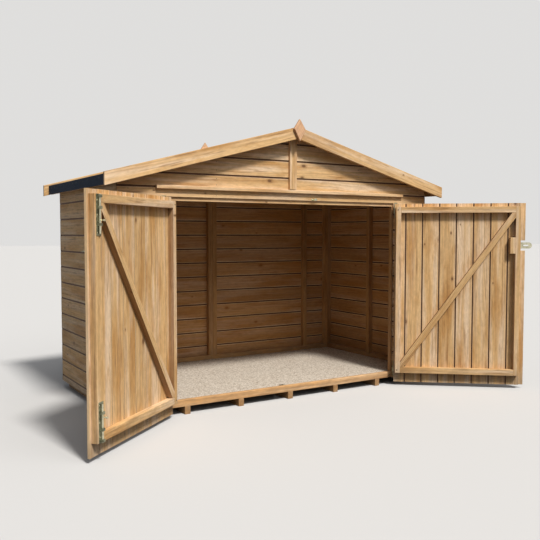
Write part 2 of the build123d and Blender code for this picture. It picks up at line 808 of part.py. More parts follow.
save(hasp_flap, "hasp_flap")

with BuildPart() as lock_block:
    bar(RIGHT, right_stile_inner - lock_block_width, right_stile_inner,
        hasp_height - lock_block_height / 2, hasp_height + lock_block_height / 2,
        board_back, leaf_frame_depth)
save(lock_block, "lock_block")
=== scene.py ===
"""Looks of the timber bike shelter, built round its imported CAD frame.

The frame gives every place and size. Each wall and door leaf gets separate tongued boards in place of its
plain panel, each squared timber gets eased edges, nails and screws go where boards cross timbers, and every
surface gets a finish drawn in nodes. Metres throughout: +Z is up and the doors face -Y.
"""

import json
import logging
import math
from collections.abc import Callable
from dataclasses import dataclass, field
from enum import Enum
from typing import NamedTuple

import bmesh
import bpy
import numpy as np
from mathutils import Matrix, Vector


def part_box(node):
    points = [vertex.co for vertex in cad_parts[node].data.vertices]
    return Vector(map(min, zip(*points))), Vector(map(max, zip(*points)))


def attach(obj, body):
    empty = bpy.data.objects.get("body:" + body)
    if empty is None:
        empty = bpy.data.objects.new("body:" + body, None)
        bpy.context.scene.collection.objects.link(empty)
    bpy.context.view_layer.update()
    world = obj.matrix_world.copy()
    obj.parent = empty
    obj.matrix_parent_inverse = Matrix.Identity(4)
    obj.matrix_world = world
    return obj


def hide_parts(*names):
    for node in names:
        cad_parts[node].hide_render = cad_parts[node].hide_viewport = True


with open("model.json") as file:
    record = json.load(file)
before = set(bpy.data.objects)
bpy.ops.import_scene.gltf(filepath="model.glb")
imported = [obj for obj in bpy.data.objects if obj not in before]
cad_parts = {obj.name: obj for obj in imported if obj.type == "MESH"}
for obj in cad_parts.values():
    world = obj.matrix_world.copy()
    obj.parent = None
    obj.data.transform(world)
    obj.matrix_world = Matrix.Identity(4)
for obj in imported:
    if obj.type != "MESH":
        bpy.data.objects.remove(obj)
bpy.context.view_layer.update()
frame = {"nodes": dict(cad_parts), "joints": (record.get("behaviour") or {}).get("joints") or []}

LOG = logging.getLogger("bike_shelter")
MM = 0.001
SEED = 26
IMAGE_WIDTH = 540
SENSOR_WIDTH = 36.0
ROOF_SLOPE = math.tan(math.radians(15))

# Where boards end, by place across them, and a share from 0 to 1, by a timber's middle.
Reach = Callable[[np.ndarray], np.ndarray]
Share = Callable[[np.ndarray], float]


class Side(Enum):
    """The two door leaves, by the sign of the X of their hinge pins."""

    LEFT = -1
    RIGHT = 1


def linear(hex_colour: str) -> tuple[float, float, float, float]:
    """Turns an sRGB hex colour into linear light.

    Args:
        hex_colour: six hex digits, with or without a leading #.

    Returns:
        Red, green, blue and an alpha of 1.
    """
    digits = hex_colour.lstrip("#")
    srgb = np.array([int(digits[i:i + 2], 16) for i in (0, 2, 4)]) / 255
    light = np.where(srgb <= 0.04045, srgb / 12.92, ((srgb + 0.055) / 1.055) ** 2.4)
    return (*light.tolist(), 1.0)


def add(tree: bpy.types.NodeTree, kind: str, settings: dict | None = None, **links) -> bpy.types.Node:
    """Adds a node with its settings and links.

    Args:
        tree: the node tree that gets it.
        kind: the node's type without the leading ShaderNode.
        settings: attributes of the node, by name.
        links: a value or an output socket for each input, by input name with _ for a blank, or in0, in1 and
            so on for an input by number.

    Returns:
        The new node.
    """
    node = tree.nodes.new("ShaderNode" + kind)
    for name, value in (settings or {}).items():
        setattr(node, name, value)
    for name, value in links.items():
        by_number = name.startswith("in") and name[2:].isdigit()
        socket = node.inputs[int(name[2:])] if by_number else node.inputs[name.replace("_", " ")]
        if isinstance(value, bpy.types.NodeSocket):
            tree.links.new(value, socket)
        else:
            socket.default_value = value
    return node


def plain_mesh(name: str, points: np.ndarray, faces: list[tuple[int, ...]]) -> bpy.types.Mesh:
    """Makes a mesh from points, an array of any shape whose last axis is (x, y, z), and its faces."""
    mesh = bpy.data.meshes.new(name)
    mesh.from_pydata(np.reshape(points, (-1, 3)).tolist(), [], faces)
    return mesh


def write_layer(mesh: bpy.types.Mesh, name: str, values: np.ndarray, domain: str = "POINT") -> None:
    """Writes an attribute that a material reads.

    Args:
        mesh: the mesh that gets it.
        name: the attribute's name.
        values: (n,) numbers or (n, 3) vectors.
        domain: POINT for a value at each point, FACE for one on each face.
    """
    kind, key = ("FLOAT_VECTOR", "vector") if values.ndim == 2 else ("FLOAT", "value")
    mesh.attributes.new(name, kind, domain).data.foreach_set(key, values.astype(np.float32).ravel())


def fresh_material(name: str) -> tuple[bpy.types.Material, bpy.types.NodeTree, bpy.types.Node]:
    """Makes a material with one Principled shader.

    Args:
        name: the material's name.

    Returns:
        The material, its node tree and the shader node.
    """
    material = bpy.data.materials.new(name)
    material.use_nodes = True
    tree = material.node_tree
    tree.nodes.clear()
    shader = add(tree, "BsdfPrincipled")
    output = add(tree, "OutputMaterial")
    tree.links.new(shader.outputs["BSDF"], output.inputs["Surface"])
    return material, tree, shader


class Streaks(NamedTuple):
    """Noise drawn out along the grain: its streaks' length and width in millimetres, and its detail."""

    length_mm: float
    width_mm: float
    detail: float


@dataclass(frozen=True)
class SoftwoodFinish:
    """Dip-treated spruce, planed or sawn: golden to pinkish wood under a thin uneven stain.

    The eye reads it by soft stripes of gold and pink along each board, darker where the stain soaked in,
    faint arcs of growth rings, a few brown knots, pale edges that are partly wear and partly painted
    highlight, and near-black joints whose dark is painted shade. Fibre is drawn some ten times wider than it
    is and growth rings three times, because real ones are too fine to show.
    """

    name: str
    straw: str = "#E4BB84"
    pink: str = "#EDD0AE"
    amber: str = "#C28E4E"
    ring: str = "#8C5E34"
    knot: str = "#64401F"
    # Paler arrises: partly wear, partly painted highlight.
    wear_and_highlight: str = "#F0D3AB"
    # Near-black joints: painted shade down in the grooves.
    joint: str = "#4F2D14"
    # Colour of painted shade, given as sawn wood: on faces that the edge attribute marks -1.
    sawn: str = "#955A17"
    splash: str = "#84705A"
    stripe: Streaks = Streaks(1111.1, 58.82, 2.0)
    patch: Streaks = Streaks(588.2, 90.91, 3.0)
    blotch: Streaks = Streaks(142.86, 50.0, 4.0)
    vein: Streaks = Streaks(250.0, 13.333, 3.0)
    fibre: Streaks = Streaks(166.67, 3.3333, 3.0)
    fleck: Streaks = Streaks(38.46, 12.5, 3.0)
    wander: Streaks = Streaks(1111.1, 200.0, 2.0)
    ring_mm: float = 9.0
    pith_depth_mm: float = 40.0
    pith_wander_mm: float = 50.0
    knot_mm: float = 10.0
    least_knot_mm: float = 0.2
    knot_cell_mm: tuple[float, float] = (340.0, 100.0)
    knot_slimness: float = 0.55
    knot_share: float = 0.24
    ring_share: float = 0.2
    roughness: float = 0.68
    relief_mm: float = 0.3
    tones: tuple[float, float] = (0.88, 1.08)
    splash_height: float = 0.32

    def material(self) -> bpy.types.Material:
        """Builds the material from the piece's own grain, tone, end and edge attributes.

        The grain attribute is (along, across, through) in metres inside each timber, so that stripes, rings
        and knots run with its length. Edge is 0 on the flat; 1 at an arris, paler there, partly for wear and
        partly as painted highlight; 2 down in a joint, near-black there as painted shade; and -1 on a face
        that takes painted shade in the sawn colour.

        Returns:
            The material.
        """
        material, tree, shader = fresh_material(self.name)
        grain = add(tree, "Attribute", {"attribute_name": "grain"}).outputs["Vector"]
        tone = add(tree, "Attribute", {"attribute_name": "tone"}).outputs["Fac"]
        end = add(tree, "Attribute", {"attribute_name": "end"}).outputs["Fac"]
        edge = add(tree, "Attribute", {"attribute_name": "edge"}).outputs["Fac"]

        stripe = self._streaks(tree, grain, self.stripe)
        patch = self._streaks(tree, grain, self.patch)
        blotch = self._streaks(tree, grain, self.blotch)
        vein = self._streaks(tree, grain, self.vein)
        fibre = self._streaks(tree, grain, self.fibre)
        fleck = self._streaks(tree, grain, self.fleck)
        knots = self._knot_ratio(tree, grain)

        # Pale pink stripes, amber where the stain soaked in, then dark veins, rings and knots.
        wood = self._tint(tree, linear(self.straw), self.pink, stripe, 0.42, 0.66, 0.95)
        wood = self._tint(tree, wood, self.amber, patch, 0.44, 0.7, 0.85)
        wood = self._tint(tree, wood, self.amber, blotch, 0.52, 0.75, 0.5)
        wood = self._tint(tree, wood, self.ring, vein, 0.53, 0.72, 0.6)
        wood = self._tint(tree, wood, self.ring, self._late_wood(tree, grain), 0.0, 1.0, self.ring_share)
        wood = self._tint(tree, wood, self.ring, knots, 2.3, 0.9, 0.45)
        wood = self._tint(tree, wood, self.knot, knots, 1.15, 0.55, 0.85)
        # Painted shade in the sawn colour on faces marked -1, paler arrises that are partly wear and partly
        # painted highlight, greyer where rain splashes up.
        wood = self._tint(tree, wood, self.sawn, edge, 0.0, -1.0, 0.64)
        wood = self._tint(tree, wood, self.wear_and_highlight, edge, 0.2, 1.0, 0.5)
        wood = self._tint(tree, wood, self.splash, self._splash(tree, blotch), 0.35, 0.95, 0.4)
        # Each timber has its own level, fine fibre and flecks, and darker end grain. Joints are darkest:
        # painted shade in their grooves.
        level = self._level(tree, (tone, *self.tones), (fibre, 0.82, 1.15), (fleck, 0.72, 1.27),
                            (stripe, 0.93, 1.06), (end, 1.0, 0.7))
        wood = add(tree, "HueSaturation", None, Color=wood, Value=level).outputs["Color"]
        wood = self._tint(tree, wood, self.joint, edge, 1.05, 1.4, 0.97)
        tree.links.new(wood, shader.inputs["Base Color"])

        rough = add(tree, "MapRange", None, Value=fibre, To_Min=self.roughness - 0.08,
                    To_Max=self.roughness + 0.12).outputs["Result"]
        tree.links.new(rough, shader.inputs["Roughness"])
        height = add(tree, "Math", {"operation": "MULTIPLY_ADD"}, in0=blotch, in1=0.5, in2=fibre).outputs[0]
        bump = add(tree, "Bump", None, Strength=0.7, Distance=self.relief_mm * MM, Height=height)
        tree.links.new(bump.outputs["Normal"], shader.inputs["Normal"])
        return material

    @staticmethod
    def _streaks(tree: bpy.types.NodeTree, grain: bpy.types.NodeSocket,
                 streaks: Streaks) -> bpy.types.NodeSocket:
        """Draws noise stretched along the grain.

        Args:
            tree: the material's node tree.
            grain: the place inside the timber.
            streaks: the noise's sizes.

        Returns:
            The noise, from 0 to 1 and about a half on average.
        """
        across = 1 / (streaks.width_mm * MM)
        waves = (1 / (streaks.length_mm * MM), across, across)
        scaled = add(tree, "VectorMath", {"operation": "MULTIPLY"}, in0=grain, in1=waves)
        noise = add(tree, "TexNoise", None, Vector=scaled.outputs[0], Scale=1.0, Detail=streaks.detail,
                    Roughness=0.55)
        return noise.outputs["Fac"]

    @staticmethod
    def _tint(tree: bpy.types.NodeTree, wood: bpy.types.NodeSocket | tuple, colour: str,
              share: bpy.types.NodeSocket, start: float, full: float, most: float) -> bpy.types.NodeSocket:
        """Moves the wood's colour towards another.

        Args:
            tree: the material's node tree.
            wood: the colour so far.
            colour: the other colour, as sRGB hex.
            share: what the tint follows.
            start: the share at which it begins.
            full: the share at which it is strongest.
            most: how far it then goes, 1 being all the way.

        Returns:
            The new colour.
        """
        amount = add(tree, "MapRange", {"interpolation_type": "SMOOTHSTEP"}, Value=share, From_Min=start,
                     From_Max=full, To_Max=most).outputs["Result"]
        return add(tree, "Mix", {"data_type": "RGBA"}, in0=amount, in6=wood, in7=linear(colour)).outputs[2]

    @staticmethod
    def _level(tree: bpy.types.NodeTree,
               *shares: tuple[bpy.types.NodeSocket, float, float]) -> bpy.types.NodeSocket:
        """Multiplies ranges of brightness.

        Args:
            tree: the material's node tree.
            shares: for each range, a socket from 0 to 1 and the brightness at either end.

        Returns:
            The brightness, 1 leaving a colour as it is.
        """
        level = None
        for socket, low, high in shares:
            step = add(tree, "MapRange", {"clamp": False}, Value=socket, To_Min=low,
                       To_Max=high).outputs["Result"]
            if level is not None:
                step = add(tree, "Math", {"operation": "MULTIPLY"}, in0=level, in1=step).outputs[0]
            level = step
        return level

    def _splash(self, tree: bpy.types.NodeTree, blotch: bpy.types.NodeSocket) -> bpy.types.NodeSocket:
        """Draws where rain splashes up from the ground: full at the foot, ragged, gone at splash_height.

        Args:
            tree: the material's node tree.
            blotch: the noise that makes its edge ragged.

        Returns:
            The share of splash, from 0 to about 1.
        """
        place = add(tree, "TexCoord").outputs["Object"]
        height = add(tree, "SeparateXYZ", None, Vector=place).outputs["Z"]
        low = add(tree, "MapRange", None, Value=height, From_Min=self.splash_height, From_Max=0.0,
                  To_Max=2.0).outputs["Result"]
        return add(tree, "Math", {"operation": "MULTIPLY"}, in0=blotch, in1=low).outputs[0]

    def _knot_ratio(self, tree: bpy.types.NodeTree, grain: bpy.types.NodeSocket) -> bpy.types.NodeSocket:
        """Gives the distance from the nearest branch knot, in radii of that knot.

        Knots stand in cells of knot_cell_mm along and across the board. A share of them has a size, and each
        is longer with the grain than across it.

        Args:
            tree: the material's node tree.
            grain: the place inside the timber.

        Returns:
            The distance, 0 in the middle of a knot and 1 at its rim.
        """
        cell = (self.knot_cell_mm[0] * MM, self.knot_cell_mm[1] * MM, 1.0)
        scaled = add(tree, "VectorMath", {"operation": "DIVIDE"}, in0=grain, in1=cell).outputs[0]
        cells = add(tree, "TexVoronoi", {"voronoi_dimensions": "2D"}, Vector=scaled, Scale=1.0,
                    Randomness=0.7)
        offset = add(tree, "VectorMath", {"operation": "SUBTRACT"}, in0=scaled, in1=cells.outputs["Position"])
        real = add(tree, "VectorMath", {"operation": "MULTIPLY"}, in0=offset.outputs[0],
                   in1=(cell[0] * self.knot_slimness, cell[1], 0.0))
        distance = add(tree, "VectorMath", {"operation": "LENGTH"}, in0=real.outputs[0]).outputs["Value"]
        chance = add(tree, "SeparateColor", None, Color=cells.outputs["Color"]).outputs["Red"]
        radius = add(tree, "MapRange", None, Value=chance, From_Min=1 - self.knot_share, From_Max=1.0,
                     To_Min=self.least_knot_mm * MM, To_Max=self.knot_mm * MM).outputs["Result"]
        return add(tree, "Math", {"operation": "DIVIDE"}, in0=distance, in1=radius).outputs[0]

    def _late_wood(self, tree: bpy.types.NodeTree, grain: bpy.types.NodeSocket) -> bpy.types.NodeSocket:
        """Draws the dark part of each growth ring, as circles round a pith that lies under the face.

        The ring's phase is the fraction of sqrt((across + drift)^2 + (through + depth)^2) / ring width. It
        darkens slowly, as summer growth does, and ends at a sharp line.

        Args:
            tree: the material's node tree.
            grain: the place inside the timber.

        Returns:
            The share of dark wood, from 0 to 1.
        """
        wander = self._streaks(tree, grain, self.wander)
        reach = self.pith_wander_mm * MM
        drift = add(tree, "MapRange", {"clamp": False}, Value=wander, To_Min=-reach,
                    To_Max=reach).outputs["Result"]
        parts = add(tree, "SeparateXYZ", None, Vector=grain)
        across = add(tree, "Math", {"operation": "ADD"}, in0=parts.outputs["Y"], in1=drift).outputs[0]
        through = add(tree, "Math", {"operation": "ADD"}, in0=parts.outputs["Z"],
                      in1=self.pith_depth_mm * MM).outputs[0]
        section = add(tree, "CombineXYZ", None, X=across, Y=through, Z=0.0)
        radius = add(tree, "VectorMath", {"operation": "LENGTH"}, in0=section.outputs[0]).outputs["Value"]
        rings = add(tree, "Math", {"operation": "DIVIDE"}, in0=radius, in1=self.ring_mm * MM).outputs[0]
        phase = add(tree, "Math", {"operation": "FRACT"}, in0=rings).outputs[0]
        rise = add(tree, "MapRange", {"interpolation_type": "SMOOTHSTEP"}, Value=phase,
                   From_Min=0.2, From_Max=0.85).outputs["Result"]
        drop = add(tree, "MapRange", {"interpolation_type": "SMOOTHSTEP"}, Value=phase,
                   From_Min=1.0, From_Max=0.86).outputs["Result"]
        return add(tree, "Math", {"operation": "MULTIPLY"}, in0=rise, in1=drop).outputs[0]


@dataclass(frozen=True)
class StrandBoardFinish:
    """Pressed wood-strand sheet: grey-beige flakes a few millimetres across, some dark, under a matt face."""

    name: str = "strand_board_sheet"
    pale: str = "#D6CDC1"
    middle: str = "#C0B3A3"
    dark: str = "#9A8C7D"
    flake_mm: float = 9.0
    chips_across_flake: float = 2.6

    def material(self) -> bpy.types.Material:
        """Builds the material: two sizes of random cells tinted one by one.

        Returns:
            The material.
        """
        material, tree, shader = fresh_material(self.name)
        place = add(tree, "TexCoord").outputs["Object"]
        flakes_a_metre = 1 / (self.flake_mm * MM)
        flakes = add(tree, "TexVoronoi", None, Vector=place, Scale=flakes_a_metre, Randomness=1.0)
        chips = add(tree, "TexVoronoi", None, Vector=place, Scale=self.chips_across_flake * flakes_a_metre,
                    Randomness=1.0)
        large = add(tree, "SeparateColor", None, Color=flakes.outputs["Color"]).outputs["Red"]
        small = add(tree, "SeparateColor", None, Color=chips.outputs["Color"]).outputs["Green"]
        share = add(tree, "Math", {"operation": "MULTIPLY"}, in0=large, in1=small).outputs[0]
        ramp = add(tree, "ValToRGB", None, Fac=share)
        ramp.color_ramp.elements[0].color = linear(self.dark)
        ramp.color_ramp.elements[1].color = linear(self.pale)
        ramp.color_ramp.elements[1].position = 0.5
        ramp.color_ramp.elements.new(0.14).color = linear(self.middle)
        tree.links.new(ramp.outputs["Color"], shader.inputs["Base Color"])
        shader.inputs["Roughness"].default_value = 0.82
        bump = add(tree, "Bump", None, Strength=0.5, Distance=0.4 * MM, Height=share)
        tree.links.new(bump.outputs["Normal"], shader.inputs["Normal"])
        return material


@dataclass(frozen=True)
class FeltFinish:
    """Bitumen roofing felt with crushed mineral pressed into it: near black, blue, rough, slightly uneven.

    Grit is drawn twice as coarse as it is, because real grit is too fine to show.
    """

    name: str = "mineral_roofing_felt"
    bitumen: str = "#0E1726"
    mineral: str = "#24344A"
    grit_mm: float = 2.5
    mottle_mm: float = 142.86

    def material(self) -> bpy.types.Material:
        """Builds the material: coarse grit cells over a slow mottle.

        Returns:
            The material.
        """
        material, tree, shader = fresh_material(self.name)
        place = add(tree, "TexCoord").outputs["Object"]
        grit = add(tree, "TexVoronoi", None, Vector=place, Scale=1 / (self.grit_mm * MM), Randomness=1.0)
        mottle = add(tree, "TexNoise", None, Vector=place, Scale=1 / (self.mottle_mm * MM), Detail=5.0,
                     Roughness=0.65)
        chance = add(tree, "SeparateColor", None, Color=grit.outputs["Color"]).outputs["Blue"]
        blend = add(tree, "Math", {"operation": "MULTIPLY"}, in0=chance, in1=mottle.outputs["Fac"]).outputs[0]
        share = add(tree, "MapRange", None, Value=blend, From_Min=0.05, From_Max=0.6).outputs["Result"]
        felt = add(tree, "Mix", {"data_type": "RGBA"}, in0=share, in6=linear(self.bitumen),
                   in7=linear(self.mineral)).outputs[2]
        tree.links.new(felt, shader.inputs["Base Color"])
        shader.inputs["Roughness"].default_value = 0.93
        shader.inputs["Specular IOR Level"].default_value = 0.25
        bump = add(tree, "Bump", {"invert": True}, Strength=0.8, Distance=0.8 * MM,
                   Height=grit.outputs["Distance"])
        tree.links.new(bump.outputs["Normal"], shader.inputs["Normal"])
        return material


@dataclass(frozen=True)
class PlatedFinish:
    """Zinc plate on steel: a soft metal sheen, cloudy between a bright and a duller tint."""

    name: str
    bright: str
    # The duller tint: dulled plating; on the pressed plates it is darker still, as painted dark reflection.
    dull_and_dark_reflection: str
    roughness: float
    cloud_mm: float = 22.22

    def material(self) -> bpy.types.Material:
        """Builds the material: cloudy tint and cloudy gloss.

        Returns:
            The material.
        """
        material, tree, shader = fresh_material(self.name)
        place = add(tree, "TexCoord").outputs["Object"]
        cloud = add(tree, "TexNoise", None, Vector=place, Scale=1 / (self.cloud_mm * MM),
                    Detail=3.0).outputs["Fac"]
        share = add(tree, "MapRange", None, Value=cloud, From_Min=0.35, From_Max=0.65).outputs["Result"]
        plate = add(tree, "Mix", {"data_type": "RGBA"}, in0=share, in6=linear(self.bright),
                    in7=linear(self.dull_and_dark_reflection)).outputs[2]
        tree.links.new(plate, shader.inputs["Base Color"])
        rough = add(tree, "MapRange", None, Value=cloud, To_Min=self.roughness - 0.08,
                    To_Max=self.roughness + 0.14).outputs["Result"]
        tree.links.new(rough, shader.inputs["Roughness"])
        shader.inputs["Metallic"].default_value = 1.0
        return material


# Machine-planed spruce boards, dipped in stain: smooth gold and pink bands, brown knots, a dull satin. Inside
# the walls their inner faces take painted shade in the sawn colour.
BOARDS = SoftwoodFinish("planed_spruce_boards").material()
# Spruce door frames and trim, planed on the face. On the door leaves the sides of the stiles and the brace
# are darkened towards the sawn colour: painted shade.
FRAMING = SoftwoodFinish("planed_spruce_framing", sawn="#70451F", knot_mm=8.0, roughness=0.72,
                         relief_mm=0.35, tones=(0.92, 1.05)).material()
# Rough-sawn spruce studs, rails and joists indoors: browner, matt and fibrous.
STUDS = SoftwoodFinish("sawn_spruce_studs", straw="#B98B55", pink="#B58C62", amber="#946431", knot_mm=8.0,
                       roughness=0.8, relief_mm=0.5, tones=(0.9, 1.05)).material()
# Planed spruce sill and bearers, freshly dipped: a clear even gold.
SILL = SoftwoodFinish("golden_spruce_sill", straw="#E6B073", pink="#E8BE8E", amber="#C98D4B", knot_mm=7.0,
                      tones=(0.96, 1.05)).material()
# Fretsawn spruce finials: pinker and plain, with hardly a ring or knot.
FINIALS = SoftwoodFinish("cut_spruce_finials", straw="#E2B58C", pink="#DFB48F", amber="#CB8F60",
                         ring_share=0.1, knot_share=0.05, tones=(0.98, 1.02)).material()
# Hot-pressed wood-strand sheet: a pale grey-beige speckle that runs no way.
SHEET = StrandBoardFinish().material()
# Rolled bitumen felt faced with crushed mineral: blue-black, gritty and without gloss.
FELT = FeltFinish().material()
# The upper strip of the same felt, whose mineral is less worn off: a shade paler.
UPPER_FELT = FeltFinish("mineral_felt_upper_strip", bitumen="#111B2B", mineral="#2A3A51").material()
# Drawn steel rod with bright zinc plating: pale, with a clear sheen.
ZINC = PlatedFinish("bright_zinc_rod", bright="#E2DDC2", dull_and_dark_reflection="#BDB89C", roughness=0.28).material()
# Pressed steel with yellow zinc plating, dulled outdoors: a soft grey-gold sheen, clouded by a darker tint
# that is partly the dulled plating and partly painted dark reflection.
PLATE = PlatedFinish("dulled_zinc_plate_with_painted_reflection", bright="#A8AA92", dull_and_dark_reflection="#6E6E5B", roughness=0.42).material()
# Steel wire nails, stained by the dip: small dull brown-grey dots.
NAIL = PlatedFinish("dulled_steel_nails", bright="#9A9284", dull_and_dark_reflection="#6E5A45", roughness=0.5).material()
# Blued steel tacks and screws: dark, with hardly a glint.
BLACKED = PlatedFinish("blacked_steel_tacks", bright="#4A4A4C", dull_and_dark_reflection="#232326", roughness=0.6).material()


# How far a timber's middle may lie from the middle of its tree, across its face: a board's and a beam's.
BOARD_SPREAD = 45.0 * MM
BEAM_SPREAD = 50.0 * MM
TREE_LENGTH = 40.0
TREE_DEPTH = 30.0 * MM


def grain_start(rng: np.random.Generator, spread: float) -> np.ndarray:
    """Draws where in the tree a timber's grain starts: along, across within a spread, and under its face."""
    return np.array([rng.uniform(0, TREE_LENGTH), rng.uniform(-spread, spread), rng.uniform(0, TREE_DEPTH)])


@dataclass
class TimberMesh:
    """Faces of many timbers in one mesh, with what the wood finish reads.

    Its attributes are grain, the place inside each timber, tone, a level of its own for each timber, edge,
    from the flat face down into a joint, and end, which is 1 on end grain.
    """

    vertices: list[np.ndarray] = field(default_factory=list)
    faces: list[tuple[int, ...]] = field(default_factory=list)
    grain: list[np.ndarray] = field(default_factory=list)
    tone: list[np.ndarray] = field(default_factory=list)
    edge: list[np.ndarray] = field(default_factory=list)
    count: int = 0

    def sweep(self, section: np.ndarray, edge: np.ndarray, origin: np.ndarray, axes: np.ndarray,
              start: np.ndarray, stop: np.ndarray, rng: np.random.Generator) -> None:
        """Adds a timber: a closed section carried in a straight line between two cut ends.

        A point is origin + s along + w across + t through, where (w, t) runs round the section and s
        goes from the start cut to the stop cut, each with a distance of its own at every section point.

        Args:
            section: (n, 2) points across and through.
            edge: (n,) edge value of each section point: 0 flat, 1 at an arris, paler for wear and painted
                highlight, 2 in a joint, darkened as painted shade, and -1 on a face with painted shade.
            origin: the place of section point (0, 0) at no distance.
            axes: rows along, across and through.
            start: (n,) distances of the first cut.
            stop: (n,) distances of the second cut.
            rng: gives the timber its own grain offset and tone.
        """
        n = len(section)
        along = np.concatenate([start, stop])
        ring = np.vstack([section, section])
        points = origin + along[:, None] * axes[0] + ring[:, :1] * axes[1] + ring[:, 1:] * axes[2]
        # Faces look outwards whichever way the section runs round and the axes turn.
        turned = np.linalg.det(axes) < 0
        ahead = np.roll(section, -1, axis=0)
        area = 0.5 * np.sum(section[:, 0] * ahead[:, 1] - ahead[:, 0] * section[:, 1])
        flip = (area < 0) != turned
        first = np.arange(n) + self.count
        nxt = np.roll(first, -1)
        quads = np.stack([first, nxt, nxt + n, first + n], axis=1)
        caps = [tuple(first[::-1].tolist()), tuple((first + n).tolist())]
        if flip:
            quads = quads[:, ::-1]
            caps = [face[::-1] for face in caps]
        middle = section.mean(axis=0)
        self.vertices.append(points)
        self.grain.append(np.column_stack([along, ring - middle]) + grain_start(rng, BOARD_SPREAD))
        self.tone.append(np.full(2 * n, rng.uniform()))
        self.edge.append(np.tile(edge, 2))
        self.faces += [tuple(face) for face in quads.tolist()] + caps
        self.count += 2 * n

    def build(self, name: str, material: bpy.types.Material) -> bpy.types.Object:
        """Makes the object, with its attributes.

        Args:
            name: the object's name.
            material: its wood finish.

        Returns:
            The new object, linked to the scene.
        """
        mesh = plain_mesh(name, np.concatenate(self.vertices), self.faces)
        for layer, values in (("grain", self.grain), ("tone", self.tone), ("edge", self.edge)):
            write_layer(mesh, layer, np.concatenate(values))
        # Every side is a quad, and only the two cut ends have more corners.
        sides = np.array([len(face) for face in self.faces])
        write_layer(mesh, "end", sides > 4, "FACE")
        return placed(name, mesh, material)


def placed(name: str, mesh: bpy.types.Mesh, material: bpy.types.Material) -> bpy.types.Object:
    """Links an object for a finished mesh, with one material.

    Args:
        name: the object's name.
        mesh: its mesh, already in its place.
        material: its only material.

    Returns:
        The new object.
    """
    mesh.materials.clear()
    mesh.materials.append(material)
    mesh.update()
    piece = bpy.data.objects.new(name, mesh)
    bpy.context.scene.collection.objects.link(piece)
    return piece


@dataclass(frozen=True)
class TonguedBoard:
    """Section of a tongued and grooved board with a V joint on its outer face and a smaller one inside.

    Across runs from one edge to the other and through from the outer face inwards.
    """

    thickness: float = 12.0 * MM
    vee: float = 6.5 * MM
    vee_depth: float = 4.3 * MM
    gap: float = 2.2 * MM
    back_vee: float = 6.5 * MM
    back_depth: float = 3.8 * MM
    tongue_start: float = 4.5 * MM
    tongue_end: float = 8.0 * MM
    tongue_length: float = 5.0 * MM
    arris: float = 3.5 * MM
    # Edge value of the inner face: -1 darkens it towards the sawn colour as painted shade.
    back_painted_shade: float = 0.0

    def face(self, low: float, high: float, low_cut: float, high_cut: float, depth: float,
             wear_and_painted_light: float) -> tuple[list[tuple[float, float]], list[float]]:
        """Outline of one face from low to high, with an arris at each edge, paler there for wear and as
        painted highlight.

        Args:
            low: where the board starts across its width.
            high: where it ends.
            low_cut: how much the joint at the low edge cuts off the face.
            high_cut: how much the one at the high edge does.
            depth: how far the face lies from the outer one.
            wear_and_painted_light: the edge value between the arrises: 0 on a plain face, -1 on a face that
                takes painted shade.

        Returns:
            The (across, through) points and the edge value of each.
        """
        near, far = low + low_cut, high - high_cut
        points = [(near, depth), (near + self.arris, depth), (far - self.arris, depth), (far, depth)]
        return points, [1.0, wear_and_painted_light, wear_and_painted_light, 1.0]

    def section(self, low: float, high: float, low_joint: bool,
                high_joint: bool) -> tuple[np.ndarray, np.ndarray]:
        """Outline of one board.

        Args:
            low: where the board starts across its width.
            high: where it ends.
            low_joint: whether another board meets its low edge, which is then grooved.
            high_joint: whether another board meets its high edge, which then has a tongue.

        Returns:
            (n, 2) points, round the outline once, and (n,) their edge values, which carry wear, painted
            highlight and painted shade.
        """
        near, far, back = self.tongue_start, self.tongue_end, self.thickness
        outer, outer_wear_and_painted_light = self.face(low, high, self.vee * low_joint, self.vee * high_joint, 0.0, 0.0)
        inner, inner_wear_and_painted_light = self.face(low, high, self.back_vee * low_joint, self.back_vee * high_joint, back,
                                      self.back_painted_shade)
        points, wear_and_painted_light = list(outer), list(outer_wear_and_painted_light)
        if high_joint:
            edge, tip = high - self.gap, high + self.tongue_length
            points += [(edge, self.vee_depth), (edge, near), (tip, near + self.gap / 2),
                       (tip, far - self.gap / 2), (edge, far), (edge, back - self.back_depth)]
            wear_and_painted_light += [2.0] * 6
        points += inner[::-1]
        wear_and_painted_light += inner_wear_and_painted_light[::-1]
        if low_joint:
            edge, deep = low + self.gap, low + self.tongue_length + 2 * self.gap
            points += [(edge, back - self.back_depth), (edge, far), (deep, far), (deep, near), (edge, near),
                       (edge, self.vee_depth)]
            wear_and_painted_light += [2.0] * 6
        return np.array(points), np.array(wear_and_painted_light)


